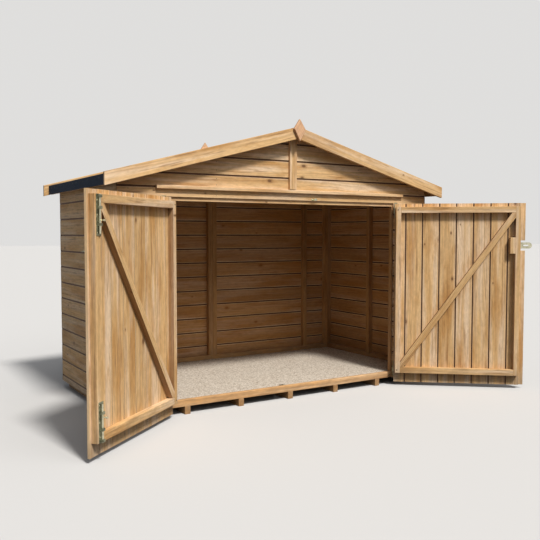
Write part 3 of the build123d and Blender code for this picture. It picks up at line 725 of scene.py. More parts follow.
@dataclass(frozen=True)
class BoardedPanel:
    """A flat sheet of tongued boards side by side."""

    origin: np.ndarray
    along: np.ndarray
    across: np.ndarray
    through: np.ndarray
    low: float
    high: float
    joints: tuple[float, ...]
    start: Reach
    stop: Reach
    board: TonguedBoard = TonguedBoard()
    end_play: float = 1.2 * MM
    face_play: float = 0.3 * MM
    nail_margin: float = 14.0 * MM
    nail_inset_share: float = 0.27
    least_width: float = 22.0 * MM

    def edges(self) -> np.ndarray:
        """Places across of every board's edges.

        Returns:
            The panel's ends and the joints between them, without a joint too near an end.
        """
        least = self.least_width
        inside = [joint for joint in self.joints if self.low + least < joint < self.high - least]
        return np.array([self.low, *inside, self.high])

    def lay(self, mesh: TimberMesh, rng: np.random.Generator) -> None:
        """Adds the panel's boards, each cut where the start and stop lines cross its edges and faces.

        Each board stands a little out of line with the next and ends a little short.

        Args:
            mesh: gets the boards.
            rng: gives each board its grain, tone and play.
        """
        edges = self.edges()
        axes = np.array([self.along, self.across, self.through])
        last = len(edges) - 2
        for place, (low, high) in enumerate(zip(edges, edges[1:])):
            section, wear_and_painted_light = self.board.section(low, high, place > 0, place < last)
            short = rng.uniform(0, self.end_play, 2)
            proud = self.origin - self.through * rng.uniform(0, self.face_play)
            mesh.sweep(section, wear_and_painted_light, proud, axes, self.start(section[:, 0]) + short[0],
                       self.stop(section[:, 0]) - short[1], rng)

    def nail_places(self, *lines: tuple[float, float]) -> np.ndarray:
        """Places of two nails in each board on lines over the outer face.

        Args:
            lines: for each line, its place on the along axis at no distance across, and how much that
                changes with each metre across.

        Returns:
            (n, 3) places, without those too near a board's end.
        """
        edges = self.edges()
        inset = self.nail_inset_share * np.diff(edges)
        across = np.concatenate([edges[:-1] + inset, edges[1:] - inset])
        found = []
        for base, slope in lines:
            along = base + slope * across
            kept = along > self.start(across) + self.nail_margin
            kept &= along < self.stop(across) - self.nail_margin
            found.append(self.origin + along[kept, None] * self.along + across[kept, None] * self.across)
        return np.vstack(found)


@dataclass(frozen=True)
class FastenerHead:
    """Head of a nail, tack or screw: a low dome that rises from its rim, dished in a screw's middle."""

    radius: float
    rise: float
    dish: float = 0.0
    sides: int = 10

    def profile(self) -> np.ndarray:
        """Half of the head's section.

        Returns:
            (n, 2) distances from the axis and heights, from the sunk foot of the rim to the middle.
        """
        rim = [(self.radius, -0.3 * MM), (self.radius, 0.5 * self.rise), (0.72 * self.radius, self.rise)]
        if self.dish:
            rim += [(self.dish, self.rise), (0.7 * self.dish, 0.1 * self.rise), (0.0, 0.1 * self.rise)]
        else:
            rim += [(0.0, 1.1 * self.rise)]
        return np.array(rim)

    def fix(self, name: str, places: np.ndarray, facing: np.ndarray, body: str,
            material: bpy.types.Material) -> bpy.types.Object:
        """Sets a head at each place, all in one mesh.

        A point is the place + r (cos a u + sin a v) + h n, where (r, h) runs up the profile, a goes round
        and u, v and n are the place's own axes, n the way that the head faces.

        Args:
            name: the object's name.
            places: (n, 3) places on the surface.
            facing: (n, 3) or (3,) unit directions out of the surface.
            body: the body that they ride on.
            material: their finish.

        Returns:
            The new piece.
        """
        profile = self.profile()
        rings, sides, heads = len(profile) - 1, self.sides, len(places)
        out = np.broadcast_to(facing, places.shape)
        steady = np.where(np.abs(out[:, 2:]) < 0.9, (0.0, 0.0, 1.0), (1.0, 0.0, 0.0))
        first = np.cross(steady, out)
        first /= np.linalg.norm(first, axis=1, keepdims=True)
        second = np.cross(out, first)
        turn = 2 * np.pi * np.arange(sides) / sides
        spoke = np.cos(turn)[:, None] * first[:, None, :] + np.sin(turn)[:, None] * second[:, None, :]
        radii, heights = profile[:-1, 0], profile[:-1, 1]
        body_points = (places[:, None, None, :] + radii[None, :, None, None] * spoke[:, None, :, :]
                       + heights[None, :, None, None] * out[:, None, None, :])
        middles = places + profile[-1, 1] * out
        points = np.concatenate([body_points.reshape(heads, -1, 3), middles[:, None, :]], axis=1)
        size, outermost = rings * sides + 1, (rings - 1) * sides
        ring, side = np.meshgrid(np.arange(rings - 1), np.arange(sides), indexing="ij")
        a = (ring * sides + side).ravel()
        b = (ring * sides + (side + 1) % sides).ravel()
        walls = np.stack([a, b, b + sides, a + sides], axis=1)
        around = np.arange(sides)
        caps = np.stack([outermost + around, outermost + (around + 1) % sides, np.full(sides, size - 1)],
                        axis=1)
        foot = around[::-1][None, :]
        faces = []
        for block in (walls, caps, foot):
            shifted = block[None] + size * np.arange(heads)[:, None, None]
            faces += [tuple(face) for face in shifted.reshape(-1, block.shape[1]).tolist()]
        piece = placed(name, plain_mesh(name, points, faces), material)
        settle(piece, body, "hardware")
        return piece


NAIL_HEAD = FastenerHead(radius=2.8 * MM, rise=0.8 * MM)
SCREW_HEAD = FastenerHead(radius=4.0 * MM, rise=1.2 * MM, dish=1.6 * MM)
CLOUT_HEAD = FastenerHead(radius=5.0 * MM, rise=0.9 * MM)


def courses(line: float, pitch: float, low: float, high: float) -> tuple[float, ...]:
    """Heights of joints between two heights.

    Args:
        line: the height of one joint.
        pitch: the height of a course.
        low: the lowest height.
        high: the highest.

    Returns:
        The heights, lowest first.
    """
    first = math.ceil((low - line) / pitch)
    last = math.floor((high - line) / pitch)
    return tuple(line + pitch * step for step in range(first, last + 1))


# Corners nearer than this are one corner, and faces that turn by less than this are one face.
WELD_WITHIN = 0.02 * MM
FLAT_WITHIN = math.radians(0.5)


def merged_copy(node: str) -> bpy.types.Mesh:
    """Copies a CAD node's mesh with its corners joined and its flat faces whole.

    Args:
        node: the node's name.

    Returns:
        The new mesh.
    """
    mesh = frame["nodes"][node].data.copy()
    work = bmesh.new()
    work.from_mesh(mesh)
    bmesh.ops.remove_doubles(work, verts=work.verts, dist=WELD_WITHIN)
    bmesh.ops.dissolve_limit(work, angle_limit=FLAT_WITHIN, verts=work.verts, edges=work.edges)
    work.to_mesh(mesh)
    work.free()
    return mesh


def mesh_arrays(mesh: bpy.types.Mesh) -> tuple[np.ndarray, np.ndarray, np.ndarray]:
    """Reads a mesh's points and edges, and labels each point with the solid that it is in.

    Each point takes the lowest point number that it is joined to, over and over until none changes.

    Args:
        mesh: the mesh to read.

    Returns:
        (n, 3) points, (m, 2) edges and (n,) labels.
    """
    points = np.empty(3 * len(mesh.vertices))
    mesh.vertices.foreach_get("co", points)
    edges = np.empty(2 * len(mesh.edges), dtype=np.int64)
    mesh.edges.foreach_get("vertices", edges)
    edges = edges.reshape(-1, 2)
    labels = np.arange(len(mesh.vertices))
    settled = False
    while not settled:
        lowest = np.minimum(labels[edges[:, 0]], labels[edges[:, 1]])
        joined = labels.copy()
        np.minimum.at(joined, edges[:, 0], lowest)
        np.minimum.at(joined, edges[:, 1], lowest)
        settled = np.array_equal(joined, labels)
        labels = joined
    return points.reshape(-1, 3), edges, labels


# An edge is eased where its faces meet at more than this.
EASED_FROM = math.radians(25)
# Cosines between a face's normal and a direction: end grain has more than the first to its timber's length,
# and a side less than the second to the way that the planed faces look.
END_GRAIN_FROM = 0.6
SIDE_BELOW = 0.3


def eased_timber(node: str, body: str, material: bpy.types.Material, rng: np.random.Generator,
                 ease_mm: float = 1.6, planed: np.ndarray | None = None,
                 sawn: Share = lambda middle: 0.0) -> bpy.types.Object:
    """Stands in for a CAD node of squared timbers with the same shape, its edges eased.

    Each solid's grain runs along its longest edge and its faces across that edge are end grain. Each has
    a tone of its own.

    Args:
        node: the CAD node that it replaces.
        body: the body that it rides on.
        material: the wood finish.
        rng: gives each timber its grain and tone.
        ease_mm: width of the eased edge.
        planed: the direction that the planed faces look, or None where every side is alike.
        sawn: how much painted shade, in the finish's sawn colour, the sides square to that direction get,
            from 0 to 1, by a timber's middle.

    Returns:
        The new piece.
    """
    mesh = merged_copy(node)
    points, edges, labels = mesh_arrays(mesh)
    normals = np.empty(3 * len(mesh.polygons))
    mesh.polygons.foreach_get("normal", normals)
    normals = normals.reshape(-1, 3)
    corners = np.array([polygon.vertices[0] for polygon in mesh.polygons])
    grain = np.zeros_like(points)
    tone = np.zeros(len(points))
    end = np.zeros(len(normals))
    edge = np.zeros(len(normals))
    # Sides square to the planed faces: these take painted shade.
    shaded_sides = (np.zeros(len(normals), dtype=bool) if planed is None
               else np.abs(normals @ planed) < SIDE_BELOW)
    for label in np.unique(labels):
        mine = labels == label
        runs = points[edges[labels[edges[:, 0]] == label]]
        spans = runs[:, 1] - runs[:, 0]
        lengths = np.linalg.norm(spans, axis=1)
        along = spans[lengths.argmax()] / lengths.max()
        middle = (points[mine].min(axis=0) + points[mine].max(axis=0)) / 2
        centred = points[mine] - middle
        # Across is the way in which the section spreads most.
        across = np.linalg.svd(centred - np.outer(centred @ along, along), full_matrices=False)[2][0]
        axes = np.array([along, across, np.cross(along, across)])
        grain[mine] = centred @ axes.T + grain_start(rng, BEAM_SPREAD)
        tone[mine] = rng.uniform()
        own_faces = labels[corners] == label
        end[own_faces & (np.abs(normals @ along) > END_GRAIN_FROM)] = 1.0
        # Painted shade: these sides are darkened towards the sawn colour by the timber's share.
        edge[own_faces & shaded_sides] = -sawn(middle)
    write_layer(mesh, "grain", grain)
    write_layer(mesh, "tone", tone)
    write_layer(mesh, "end", end, "FACE")
    write_layer(mesh, "edge", edge, "FACE")
    piece = placed(f"{node}_timber", mesh, material)
    ease = piece.modifiers.new("eased edges", "BEVEL")
    ease.width = ease_mm * MM
    ease.segments = 2
    ease.limit_method = "ANGLE"
    ease.angle_limit = EASED_FROM
    settle(piece, body, "framing", node)
    return piece


def settle(piece: bpy.types.Object, body: str, slot: str, *nodes: str) -> None:
    """Puts a finished piece on its body and hides the CAD nodes that it stands for.

    Args:
        piece: the new piece.
        body: the body that it rides on.
        slot: the record's material slot; not used.
        nodes: the CAD nodes that it replaces.
    """
    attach(piece, body)
    if nodes:
        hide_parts(*nodes)
    LOG.info("%s: %d faces on %s", piece.name, len(piece.data.polygons), body)


def repaint(node: str, material: bpy.types.Material) -> None:
    """Gives a CAD node whose shape is right a better finish.

    Args:
        node: the node's name.
        material: the finish.
    """
    piece = frame["nodes"][node]
    if piece.material_slots:
        for slot in piece.material_slots:
            slot.material = material
    else:
        piece.data.materials.append(material)
    LOG.info("%s: repainted with %s", node, material.name)


def part_boxes(node: str) -> list[tuple[np.ndarray, np.ndarray]]:
    """Boxes of the separate solids of a CAD node.

    Args:
        node: the node's name.

    Returns:
        The lowest and the highest corner of each.
    """
    mesh = merged_copy(node)
    points, _, labels = mesh_arrays(mesh)
    bpy.data.meshes.remove(mesh)
    return [(points[labels == label].min(axis=0), points[labels == label].max(axis=0))
            for label in np.unique(labels)]


def middles_behind(node: str, panel: str, axis: int, gap: float = 1.0 * MM) -> list[tuple[float, float]]:
    """Lines of nails, one over each timber of a node that touches a panel.

    Args:
        node: the CAD node of the timbers.
        panel: the CAD node of the panel.
        axis: the axis that the panel's boards run along.
        gap: how near a timber has to be.

    Returns:
        Each timber's middle on that axis, with no slope.
    """
    low, high = (np.array(corner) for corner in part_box(panel))
    return [(float(start[axis] + stop[axis]) / 2, 0.0) for start, stop in part_boxes(node)
            if np.all(start < high + gap) and np.all(stop > low - gap)]


@dataclass
class Walls:
    """The boarded walls, the timbers that carry them and the nails that hold them."""

    course: float = 112.0 * MM
    side_line: float = 1321.0 * MM
    gable_line: float = 1472.0 * MM
    half_joint: float = 1.0 * MM
    tip: float = 4.0 * MM
    nail_stray: float = 1.2 * MM
    body: str = "shelter"

    def build(self, rng: np.random.Generator) -> None:
        """Builds every wall.

        Args:
            rng: gives each timber its grain and tone.
        """
        self.front(rng)
        self.gable(rng)
        self.rear(rng)
        self.sides(rng)
        for node in ("front_studs", "side_studs", "rear_studs", "side_rails", "bottom_rails",
                     "gable_rafters"):
            eased_timber(node, self.body, STUDS, rng)
        for node in ("head_rail", "cover_strips", "drip_strip"):
            eased_timber(node, self.body, FRAMING, rng)

    def panel(self, node: str, along: tuple[float, float, float], through: tuple[float, float, float],
              joints: tuple[float, ...], start: Reach | None = None,
              stop: Reach | None = None) -> BoardedPanel:
        """Describes a wall's boards from the box of its CAD node.

        Args:
            node: the CAD node of the plain panel.
            along: the direction of its boards.
            through: the direction from its outer face inwards.
            joints: the heights of its joints.
            start: where boards start, by height, as a place on the along axis, or None for the box's end.
            stop: where boards stop.

        Returns:
            The panel, whose distances are places on the along axis.
        """
        low, high = (np.array(corner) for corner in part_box(node))
        run, inward = np.array(along), np.array(through)
        face = np.where(inward > 0, low, high) * np.abs(inward)
        near, far = float(low @ run), float(high @ run)
        # Wall boards' inner faces take painted shade: darker brown inside the shed.
        return BoardedPanel(face, run, np.array([0.0, 0.0, 1.0]), inward, float(low[2]), float(high[2]),
                            joints, start or (lambda height: np.full(len(height), near)),
                            stop or (lambda height: np.full(len(height), far)), TonguedBoard(back_painted_shade=-1.0))

    def roof_reach(self, node: str) -> Reach:
        """How far a gable wall's boards reach from its middle: the roof's underside, or the corner.

        The reach is (apex - height) / slope, kept between a tip a few millimetres wide and half the wall.

        Args:
            node: the CAD node of the wall.

        Returns:
            The reach as a function of height.
        """
        low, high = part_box(node)
        apex, half = high[2], max(abs(low[0]), abs(high[0]))
        return lambda height: np.clip((apex - height) / ROOF_SLOPE, self.tip, half)

    def board(self, node: str, panels: list[BoardedPanel], lines: list[tuple[float, float]],
              rng: np.random.Generator) -> None:
        """Lays a wall's panels, settles them in place of their node and nails them along lines.

        Args:
            node: the CAD node of the wall.
            panels: its panels.
            lines: the nails' lines, as nail_places takes them.
            rng: gives each board its grain, tone and play, and each nail its stray.
        """
        mesh = TimberMesh()
        for panel in panels:
            panel.lay(mesh, rng)
        settle(mesh.build(f"{node}_boards", BOARDS), self.body, "boarding", node)
        places = np.vstack([panel.nail_places(*lines) for panel in panels])
        scatter = rng.normal(0, self.nail_stray, (len(places), 1)) * panels[0].along
        NAIL_HEAD.fix(f"{node}_nails", places + scatter, -panels[0].through, self.body, NAIL)

    def front(self, rng: np.random.Generator) -> None:
        """Boards the two narrow panels beside the doorway.

        Args:
            rng: gives each board its grain, tone and play.
        """
        for node in ("front_left_cladding", "front_right_cladding"):
            low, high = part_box(node)
            joints = courses(self.gable_line, self.course, low[2], high[2])
            self.board(node, [self.panel(node, (1, 0, 0), (0, 1, 0), joints)],
                       middles_behind("front_studs", node, 0), rng)

    def gable(self, rng: np.random.Generator) -> None:
        """Boards the front over the doorway. Its lowest joint hides behind the drip strip.

        Args:
            rng: gives each board its grain, tone and play.
        """
        node = "front_gable_cladding"
        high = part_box(node)[1][2]
        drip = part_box("drip_strip")
        reach = self.roof_reach(node)
        hidden = float(drip[0][2] + drip[1][2]) / 2
        joints = (hidden, *courses(self.gable_line, self.course, drip[1][2], high))
        self.board(node, [self.panel(node, (1, 0, 0), (0, 1, 0), joints, lambda z: -reach(z), reach)],
                   middles_behind("front_studs", node, 0), rng)

    def rear(self, rng: np.random.Generator) -> None:
        """Boards the rear wall's two panels, which meet behind the cover strip.

        Args:
            rng: gives each board its grain, tone and play.
        """
        node = "rear_cladding"
        low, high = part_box(node)
        reach = self.roof_reach(node)
        joints = courses(self.side_line, self.course, low[2], high[2])
        halves = ((lambda z: -reach(z), lambda z: np.full(len(z), -self.half_joint)),
                  (lambda z: np.full(len(z), self.half_joint), reach))
        self.board(node, [self.panel(node, (1, 0, 0), (0, -1, 0), joints, *ends) for ends in halves],
                   middles_behind("rear_studs", node, 0), rng)

    def sides(self, rng: np.random.Generator) -> None:
        """Boards the left and right walls.

        Args:
            rng: gives each board its grain, tone and play.
        """
        for node, inward in (("left_cladding", 1), ("right_cladding", -1)):
            low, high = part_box(node)
            joints = courses(self.side_line, self.course, low[2], high[2])
            self.board(node, [self.panel(node, (0, 1, 0), (inward, 0, 0), joints)],
                       middles_behind("side_studs", node, 1), rng)


@dataclass
class Leaf:
    """A door leaf: upright boards nailed to a frame of stiles, ledges and one brace."""

    side: Side
    open_degrees: float = 140.5
    board_cover: float = 119.0 * MM
    first_board: float = 78.5 * MM
    edge_from_pin: float = 2.5 * MM
    board_from_pin: float = 8.0 * MM
    end_from_pin: float = 884.0 * MM
    back_vee: float = 5.6 * MM
    gap_share: float = 0.4
    # Painted shade on the stiles' sides, as shares of the sawn colour.
    free_stile_painted_shade: float = 0.38
    hinge_stile_painted_shade: float = 0.85
    ledge_heights: tuple[float, float] = (118.5 * MM, 1279.5 * MM)

    @property
    def name(self) -> str:
        """The body's name."""
        return "left_leaf" if self.side is Side.LEFT else "right_leaf"

    @property
    def along(self) -> np.ndarray:
        """Direction along the leaf from its pin, as it stands open."""
        turn = math.radians(self.open_degrees)
        return np.array([-self.side.value * math.cos(turn), -math.sin(turn), 0.0])

    @property
    def inward(self) -> np.ndarray:
        """Direction from the leaf's outer face inwards, as it stands open."""
        turn = math.radians(self.open_degrees)
        return np.array([-self.side.value * math.sin(turn), math.cos(turn), 0.0])

    def pin(self) -> np.ndarray:
        """The hinge pin's place on the ground plane."""
        joint = next(joint for joint in frame["joints"] if joint["child"] == self.name)
        return np.array(joint["pos_m"], dtype=float) * np.array([1, 1, 0])

    def place(self, along_mm: float, depth_mm: float, height_mm: float) -> np.ndarray:
        """A place on the leaf, along it from the pin, inwards from the pin's line, and up from the ground."""
        return (self.pin() + along_mm * MM * self.along + depth_mm * MM * self.inward
                + np.array([0.0, 0.0, height_mm * MM]))

    def brace_line(self) -> tuple[float, float]:
        """The brace's middle line.

        Returns:
            Its height at the pin and its rise for each metre along the leaf.
        """
        mesh = merged_copy(f"{self.name}_brace")
        points, edges, _ = mesh_arrays(mesh)
        bpy.data.meshes.remove(mesh)
        spans = points[edges[:, 1]] - points[edges[:, 0]]
        run = spans[np.linalg.norm(spans, axis=1).argmax()]
        middle = (points.min(axis=0) + points.max(axis=0)) / 2
        rise = run[2] / (run @ self.along)
        return middle[2] - rise * ((middle - self.pin()) @ self.along), rise

    def stile_painted_shade(self, middle: np.ndarray) -> float:
        """How much painted shade a stile's sides get: the hinge stile's mostly, the free stile's a little."""
        free = (middle - self.pin()) @ self.along > self.end_from_pin / 2
        return self.free_stile_painted_shade if free else self.hinge_stile_painted_shade

    def build(self, rng: np.random.Generator) -> None:
        """Builds the leaf's boards, nails them to the frame and eases the frame.

        Args:
            rng: gives each timber its grain, tone and play.
        """
        node = f"{self.name}_boards"
        low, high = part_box(node)
        joints = np.arange(self.edge_from_pin + self.first_board, self.end_from_pin, self.board_cover)
        panel = BoardedPanel(self.pin() + self.inward * self.board_from_pin, np.array([0.0, 0.0, 1.0]),
                             self.along, self.inward, self.edge_from_pin, self.end_from_pin,
                             tuple(joints.tolist()), lambda across: np.full(len(across), float(low[2])),
                             lambda across: np.full(len(across), float(high[2])),
                             TonguedBoard(gap=self.gap_share * self.back_vee, back_vee=self.back_vee))
        mesh = TimberMesh()
        panel.lay(mesh, rng)
        settle(mesh.build(f"{node}_set", BOARDS), self.name, "boarding", node)
        lines = [(height, 0.0) for height in self.ledge_heights] + [self.brace_line()]
        NAIL_HEAD.fix(f"{node}_nails", panel.nail_places(*lines), -self.inward, self.name, NAIL)
        # Painted shade on each part's sides: none on the ledges, full on the brace.
        shares: dict[str, Share] = {"stiles": self.stile_painted_shade, "ledges": lambda middle: 0.0,
                                    "brace": lambda middle: 1.0}
        for part, sawn in shares.items():
            eased_timber(f"{self.name}_{part}", self.name, FRAMING, rng, planed=self.inward, sawn=sawn)
        if self.side is Side.RIGHT:
            for extra in ("closing_strip", "lock_block"):
                eased_timber(extra, self.name, FRAMING, rng)


@dataclass
class Floor:
    """Bearers, joists, the front sill and the sheet deck."""

    body: str = "shelter"

    def build(self, rng: np.random.Generator) -> None:
        """Eases the timbers and repaints the deck.

        Args:
            rng: gives each timber its grain and tone.
        """
        for node in ("floor_bearers", "floor_sill"):
            eased_timber(node, self.body, SILL, rng)
        eased_timber("floor_joists", self.body, STUDS, rng)
        repaint("floor_deck", SHEET)


@dataclass
class Roof:
    """Sheet deck, lapped felt and its tacks, purlins, fascias, bargeboards and finials."""

    lap_inner: float = 90.0 * MM
    lap_outer: float = 640.0 * MM
    lap_thickness: float = 2.6 * MM
    lap_wander: float = 4.0 * MM
    lap_waves: int = 5
    lap_waves_a_metre: tuple[float, float] = (1.5, 9.0)
    lap_rows: int = 8
    lap_columns: int = 90
    tack_pitch: float = 75.0 * MM
    tack_inset: float = 30.0 * MM
    tack_drop: float = 44.0 * MM
    tack_stray: float = 5.0 * MM
    lap_margin: float = 22.0 * MM
    ridge_margin: float = 18.0 * MM
    body: str = "shelter"

    def build(self, rng: np.random.Generator) -> None:
        """Builds the roof.

        Args:
            rng: gives each timber its grain and tone, and felt and tacks their play.
        """
        eased_timber("roof_purlins", self.body, STUDS, rng)
        for node in ("eaves_fascias", "bargeboards"):
            eased_timber(node, self.body, FRAMING, rng)
        eased_timber("finials", self.body, FINIALS, rng)
        for node in ("roof_deck_left", "roof_deck_right"):
            repaint(node, SHEET)
        for node in ("roof_felt_left", "roof_felt_right", "felt_ridge_strip"):
            repaint(node, FELT)
        for side in Side:
            self.lap(side, rng)
        self.tacks(rng)

    def lap(self, side: Side, rng: np.random.Generator) -> None:
        """Lays the upper strip of felt over the lower one, its edge wavering as hand-cut felt does.

        A point is (x, y, felt top - slope |x|) on a grid, where |x| runs from under the ridge strip to an
        edge that moves in and out by a sum of slow waves along y.

        Args:
            side: the slope that it lies on.
            rng: gives the edge its waves.
        """
        low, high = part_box(f"roof_felt_{side.name.lower()}")
        y = np.linspace(low[1], high[1], self.lap_columns)
        waves = rng.uniform(*self.lap_waves_a_metre, self.lap_waves)
        phases = rng.uniform(0, 6, (self.lap_waves, 1))
        shift = np.sin(waves[:, None] * 2 * np.pi * (y - low[1]) + phases).mean(axis=0)
        edge = self.lap_outer + self.lap_wander * shift
        share = np.linspace(0, 1, self.lap_rows)[:, None]
        x = self.lap_inner + share * (edge - self.lap_inner)
        points = np.stack([side.value * x, np.broadcast_to(y, x.shape), high[2] - ROOF_SLOPE * x], axis=-1)
        rows, columns = np.meshgrid(np.arange(self.lap_rows - 1), np.arange(self.lap_columns - 1),
                                    indexing="ij")
        first = (rows * self.lap_columns + columns).ravel()
        below = first + self.lap_columns
        quads = np.stack([first, below, below + 1, first + 1], axis=1)
        quads = quads if side is Side.RIGHT else quads[:, ::-1]
        name = f"felt_lap_{side.name.lower()}"
        piece = placed(name, plain_mesh(name, points, quads.tolist()), UPPER_FELT)
        shell = piece.modifiers.new("felt thickness", "SOLIDIFY")
        shell.thickness = self.lap_thickness
        shell.offset = 1.0
        settle(piece, self.body, "roof_felt")

    def tacks(self, rng: np.random.Generator) -> None:
        """Drives flat-headed felt tacks along the eaves, the laps and the ridge strip.

        Args:
            rng: gives each tack its stray.
        """
        low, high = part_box("roof_felt_left")
        strip_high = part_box("felt_ridge_strip")[1]
        pitch = math.atan(ROOF_SLOPE)
        on_lap, on_ridge = self.lap_outer - self.lap_margin, strip_high[0] - self.ridge_margin
        lap_top = high[2] + self.lap_thickness / math.cos(pitch)
        y = np.arange(low[1] + self.tack_inset, high[1], self.tack_pitch)
        places, facing = [], []
        for side in Side:
            out = np.array([side.value * math.sin(pitch), 0.0, math.cos(pitch)])
            rows = ((-low[0], low[2] + self.tack_drop, np.array([side.value, 0.0, 0.0])),
                    (on_lap, lap_top - ROOF_SLOPE * on_lap, out),
                    (on_ridge, strip_high[2] - ROOF_SLOPE * on_ridge, out))
            for x, z, normal in rows:
                stray = y + rng.normal(0, self.tack_stray, len(y))
                places.append(np.column_stack([np.full(len(y), side.value * x), stray, np.full(len(y), z)]))
                facing.append(np.broadcast_to(normal, (len(y), 3)))
        CLOUT_HEAD.fix("felt_tacks", np.vstack(places), np.vstack(facing), self.body, BLACKED)


@dataclass
class Ironmongery:
    """Tee hinges, bolts, keeps, hasp and staple, with their screws.

    Places are in millimetres: (along, depth) from the pin for what lies on a leaf, (along, height) for a
    screw beside its plate's middle, (x, y) for the hinges' wall plates, and (x, y, z) for the keeps.
    """

    left: Leaf
    right: Leaf
    plates: tuple[str, ...] = ("hinge_plates", "left_leaf_hinges", "right_leaf_hinges",
                               "left_leaf_fittings", "hasp_plate")
    rods: tuple[str, ...] = ("bolt_keeps", "hasp_flap", "top_bolt", "bottom_bolt")
    strap_screws_mm: tuple[float, ...] = (60.0, 110.0, 170.0, 230.0, 290.0)
    strap_depth_mm: float = 5.0
    hinge_heights_mm: tuple[float, float] = (118.5, 1279.5)
    wall_plate_mm: tuple[float, float] = (910.5, -603.0)
    wall_plate_screws_mm: tuple[float, ...] = (-42.0, -20.0, 20.0, 42.0)
    frame_screw_mm: tuple[float, float] = (24.0, 56.0)
    bolt_plate_mm: tuple[float, float] = (839.0, 58.5)
    bolt_ends_mm: tuple[float, float] = (98.0, 1300.0)
    bolt_screws_mm: tuple[float, float] = (-14.0, 14.0)
    bolt_screw_runs_mm: tuple[float, ...] = (30.0, 100.0, 185.0)
    hasp_height_mm: float = 1025.0
    hasp_depth_mm: float = -11.0
    hasp_screws_mm: tuple[tuple[float, float], ...] = ((849.0, -14.0), (849.0, 14.0), (861.0, 0.0))
    staple_plate_mm: tuple[float, float] = (849.0, 6.0)
    staple_screws_mm: tuple[tuple[float, float], ...] = ((-11.0, -10.0), (-11.0, 10.0), (11.0, -10.0),
                                                         (11.0, 10.0))
    outer_keep_mm: tuple[float, float, float] = (180.0, -602.0, 1338.0)
    head_keep_mm: tuple[float, float, float] = (-48.5, -558.0, 1320.0)
    floor_keep_mm: tuple[float, float, float] = (-48.5, -547.5, 92.0)
    keep_screws_mm: tuple[float, float] = (-17.0, 17.0)

    def build(self) -> None:
        """Repaints the plated pieces and drives their screws."""
        for node in self.plates:
            repaint(node, PLATE)
        for node in self.rods:
            repaint(node, ZINC)
        for leaf in (self.left, self.right):
            outer, inner = self.leaf_screws(leaf)
            places = np.array(outer + inner)
            facing = np.array([-leaf.inward] * len(outer) + [leaf.inward] * len(inner))
            SCREW_HEAD.fix(f"{leaf.name}_fitting_screws", places, facing, leaf.name, ZINC)
            corners = [leaf.place(*self.frame_screw_mm, height) for height in self.hinge_heights_mm]
            SCREW_HEAD.fix(f"{leaf.name}_frame_screws", np.array(corners), leaf.inward, leaf.name, BLACKED)
        self.wall_screws()

    def leaf_screws(self, leaf: Leaf) -> tuple[list[np.ndarray], list[np.ndarray]]:
        """Places a leaf's screws.

        Args:
            leaf: the leaf.

        Returns:
            Their places on its outer and on its inner side.
        """
        outer = [leaf.place(along, self.strap_depth_mm, height) for along in self.strap_screws_mm
                 for height in self.hinge_heights_mm]
        inner = []
        height = self.hasp_height_mm
        if leaf.side is Side.LEFT:
            along, depth = self.staple_plate_mm
            outer += [leaf.place(along + a, depth, height + z) for a, z in self.staple_screws_mm]
            along, depth = self.bolt_plate_mm
            for tip, inwards in zip(self.bolt_ends_mm, (1, -1)):
                inner += [leaf.place(along + a, depth, tip + inwards * run)
                          for a in self.bolt_screws_mm for run in self.bolt_screw_runs_mm]
        else:
            outer += [leaf.place(a, self.hasp_depth_mm, height + z) for a, z in self.hasp_screws_mm]
        return outer, inner

    def wall_screws(self) -> None:
        """Drives the screws of the hinges' wall plates and of the three keeps."""
        out, in_, up = (0.0, -1.0, 0.0), (0.0, 1.0, 0.0), (0.0, 0.0, 1.0)
        x, y = self.wall_plate_mm
        screws = [((side.value * x, y, middle + drop), out) for side in Side
                  for middle in self.hinge_heights_mm for drop in self.wall_plate_screws_mm]
        for shift in self.keep_screws_mm:
            for (x, y, z), facing in ((self.outer_keep_mm, out), (self.head_keep_mm, in_),
                                      (self.floor_keep_mm, up)):
                screws.append(((x + shift, y, z), facing))
        places, facing = (np.array(column) for column in zip(*screws))
        SCREW_HEAD.fix("wall_fitting_screws", places * MM, facing, "shelter", ZINC)


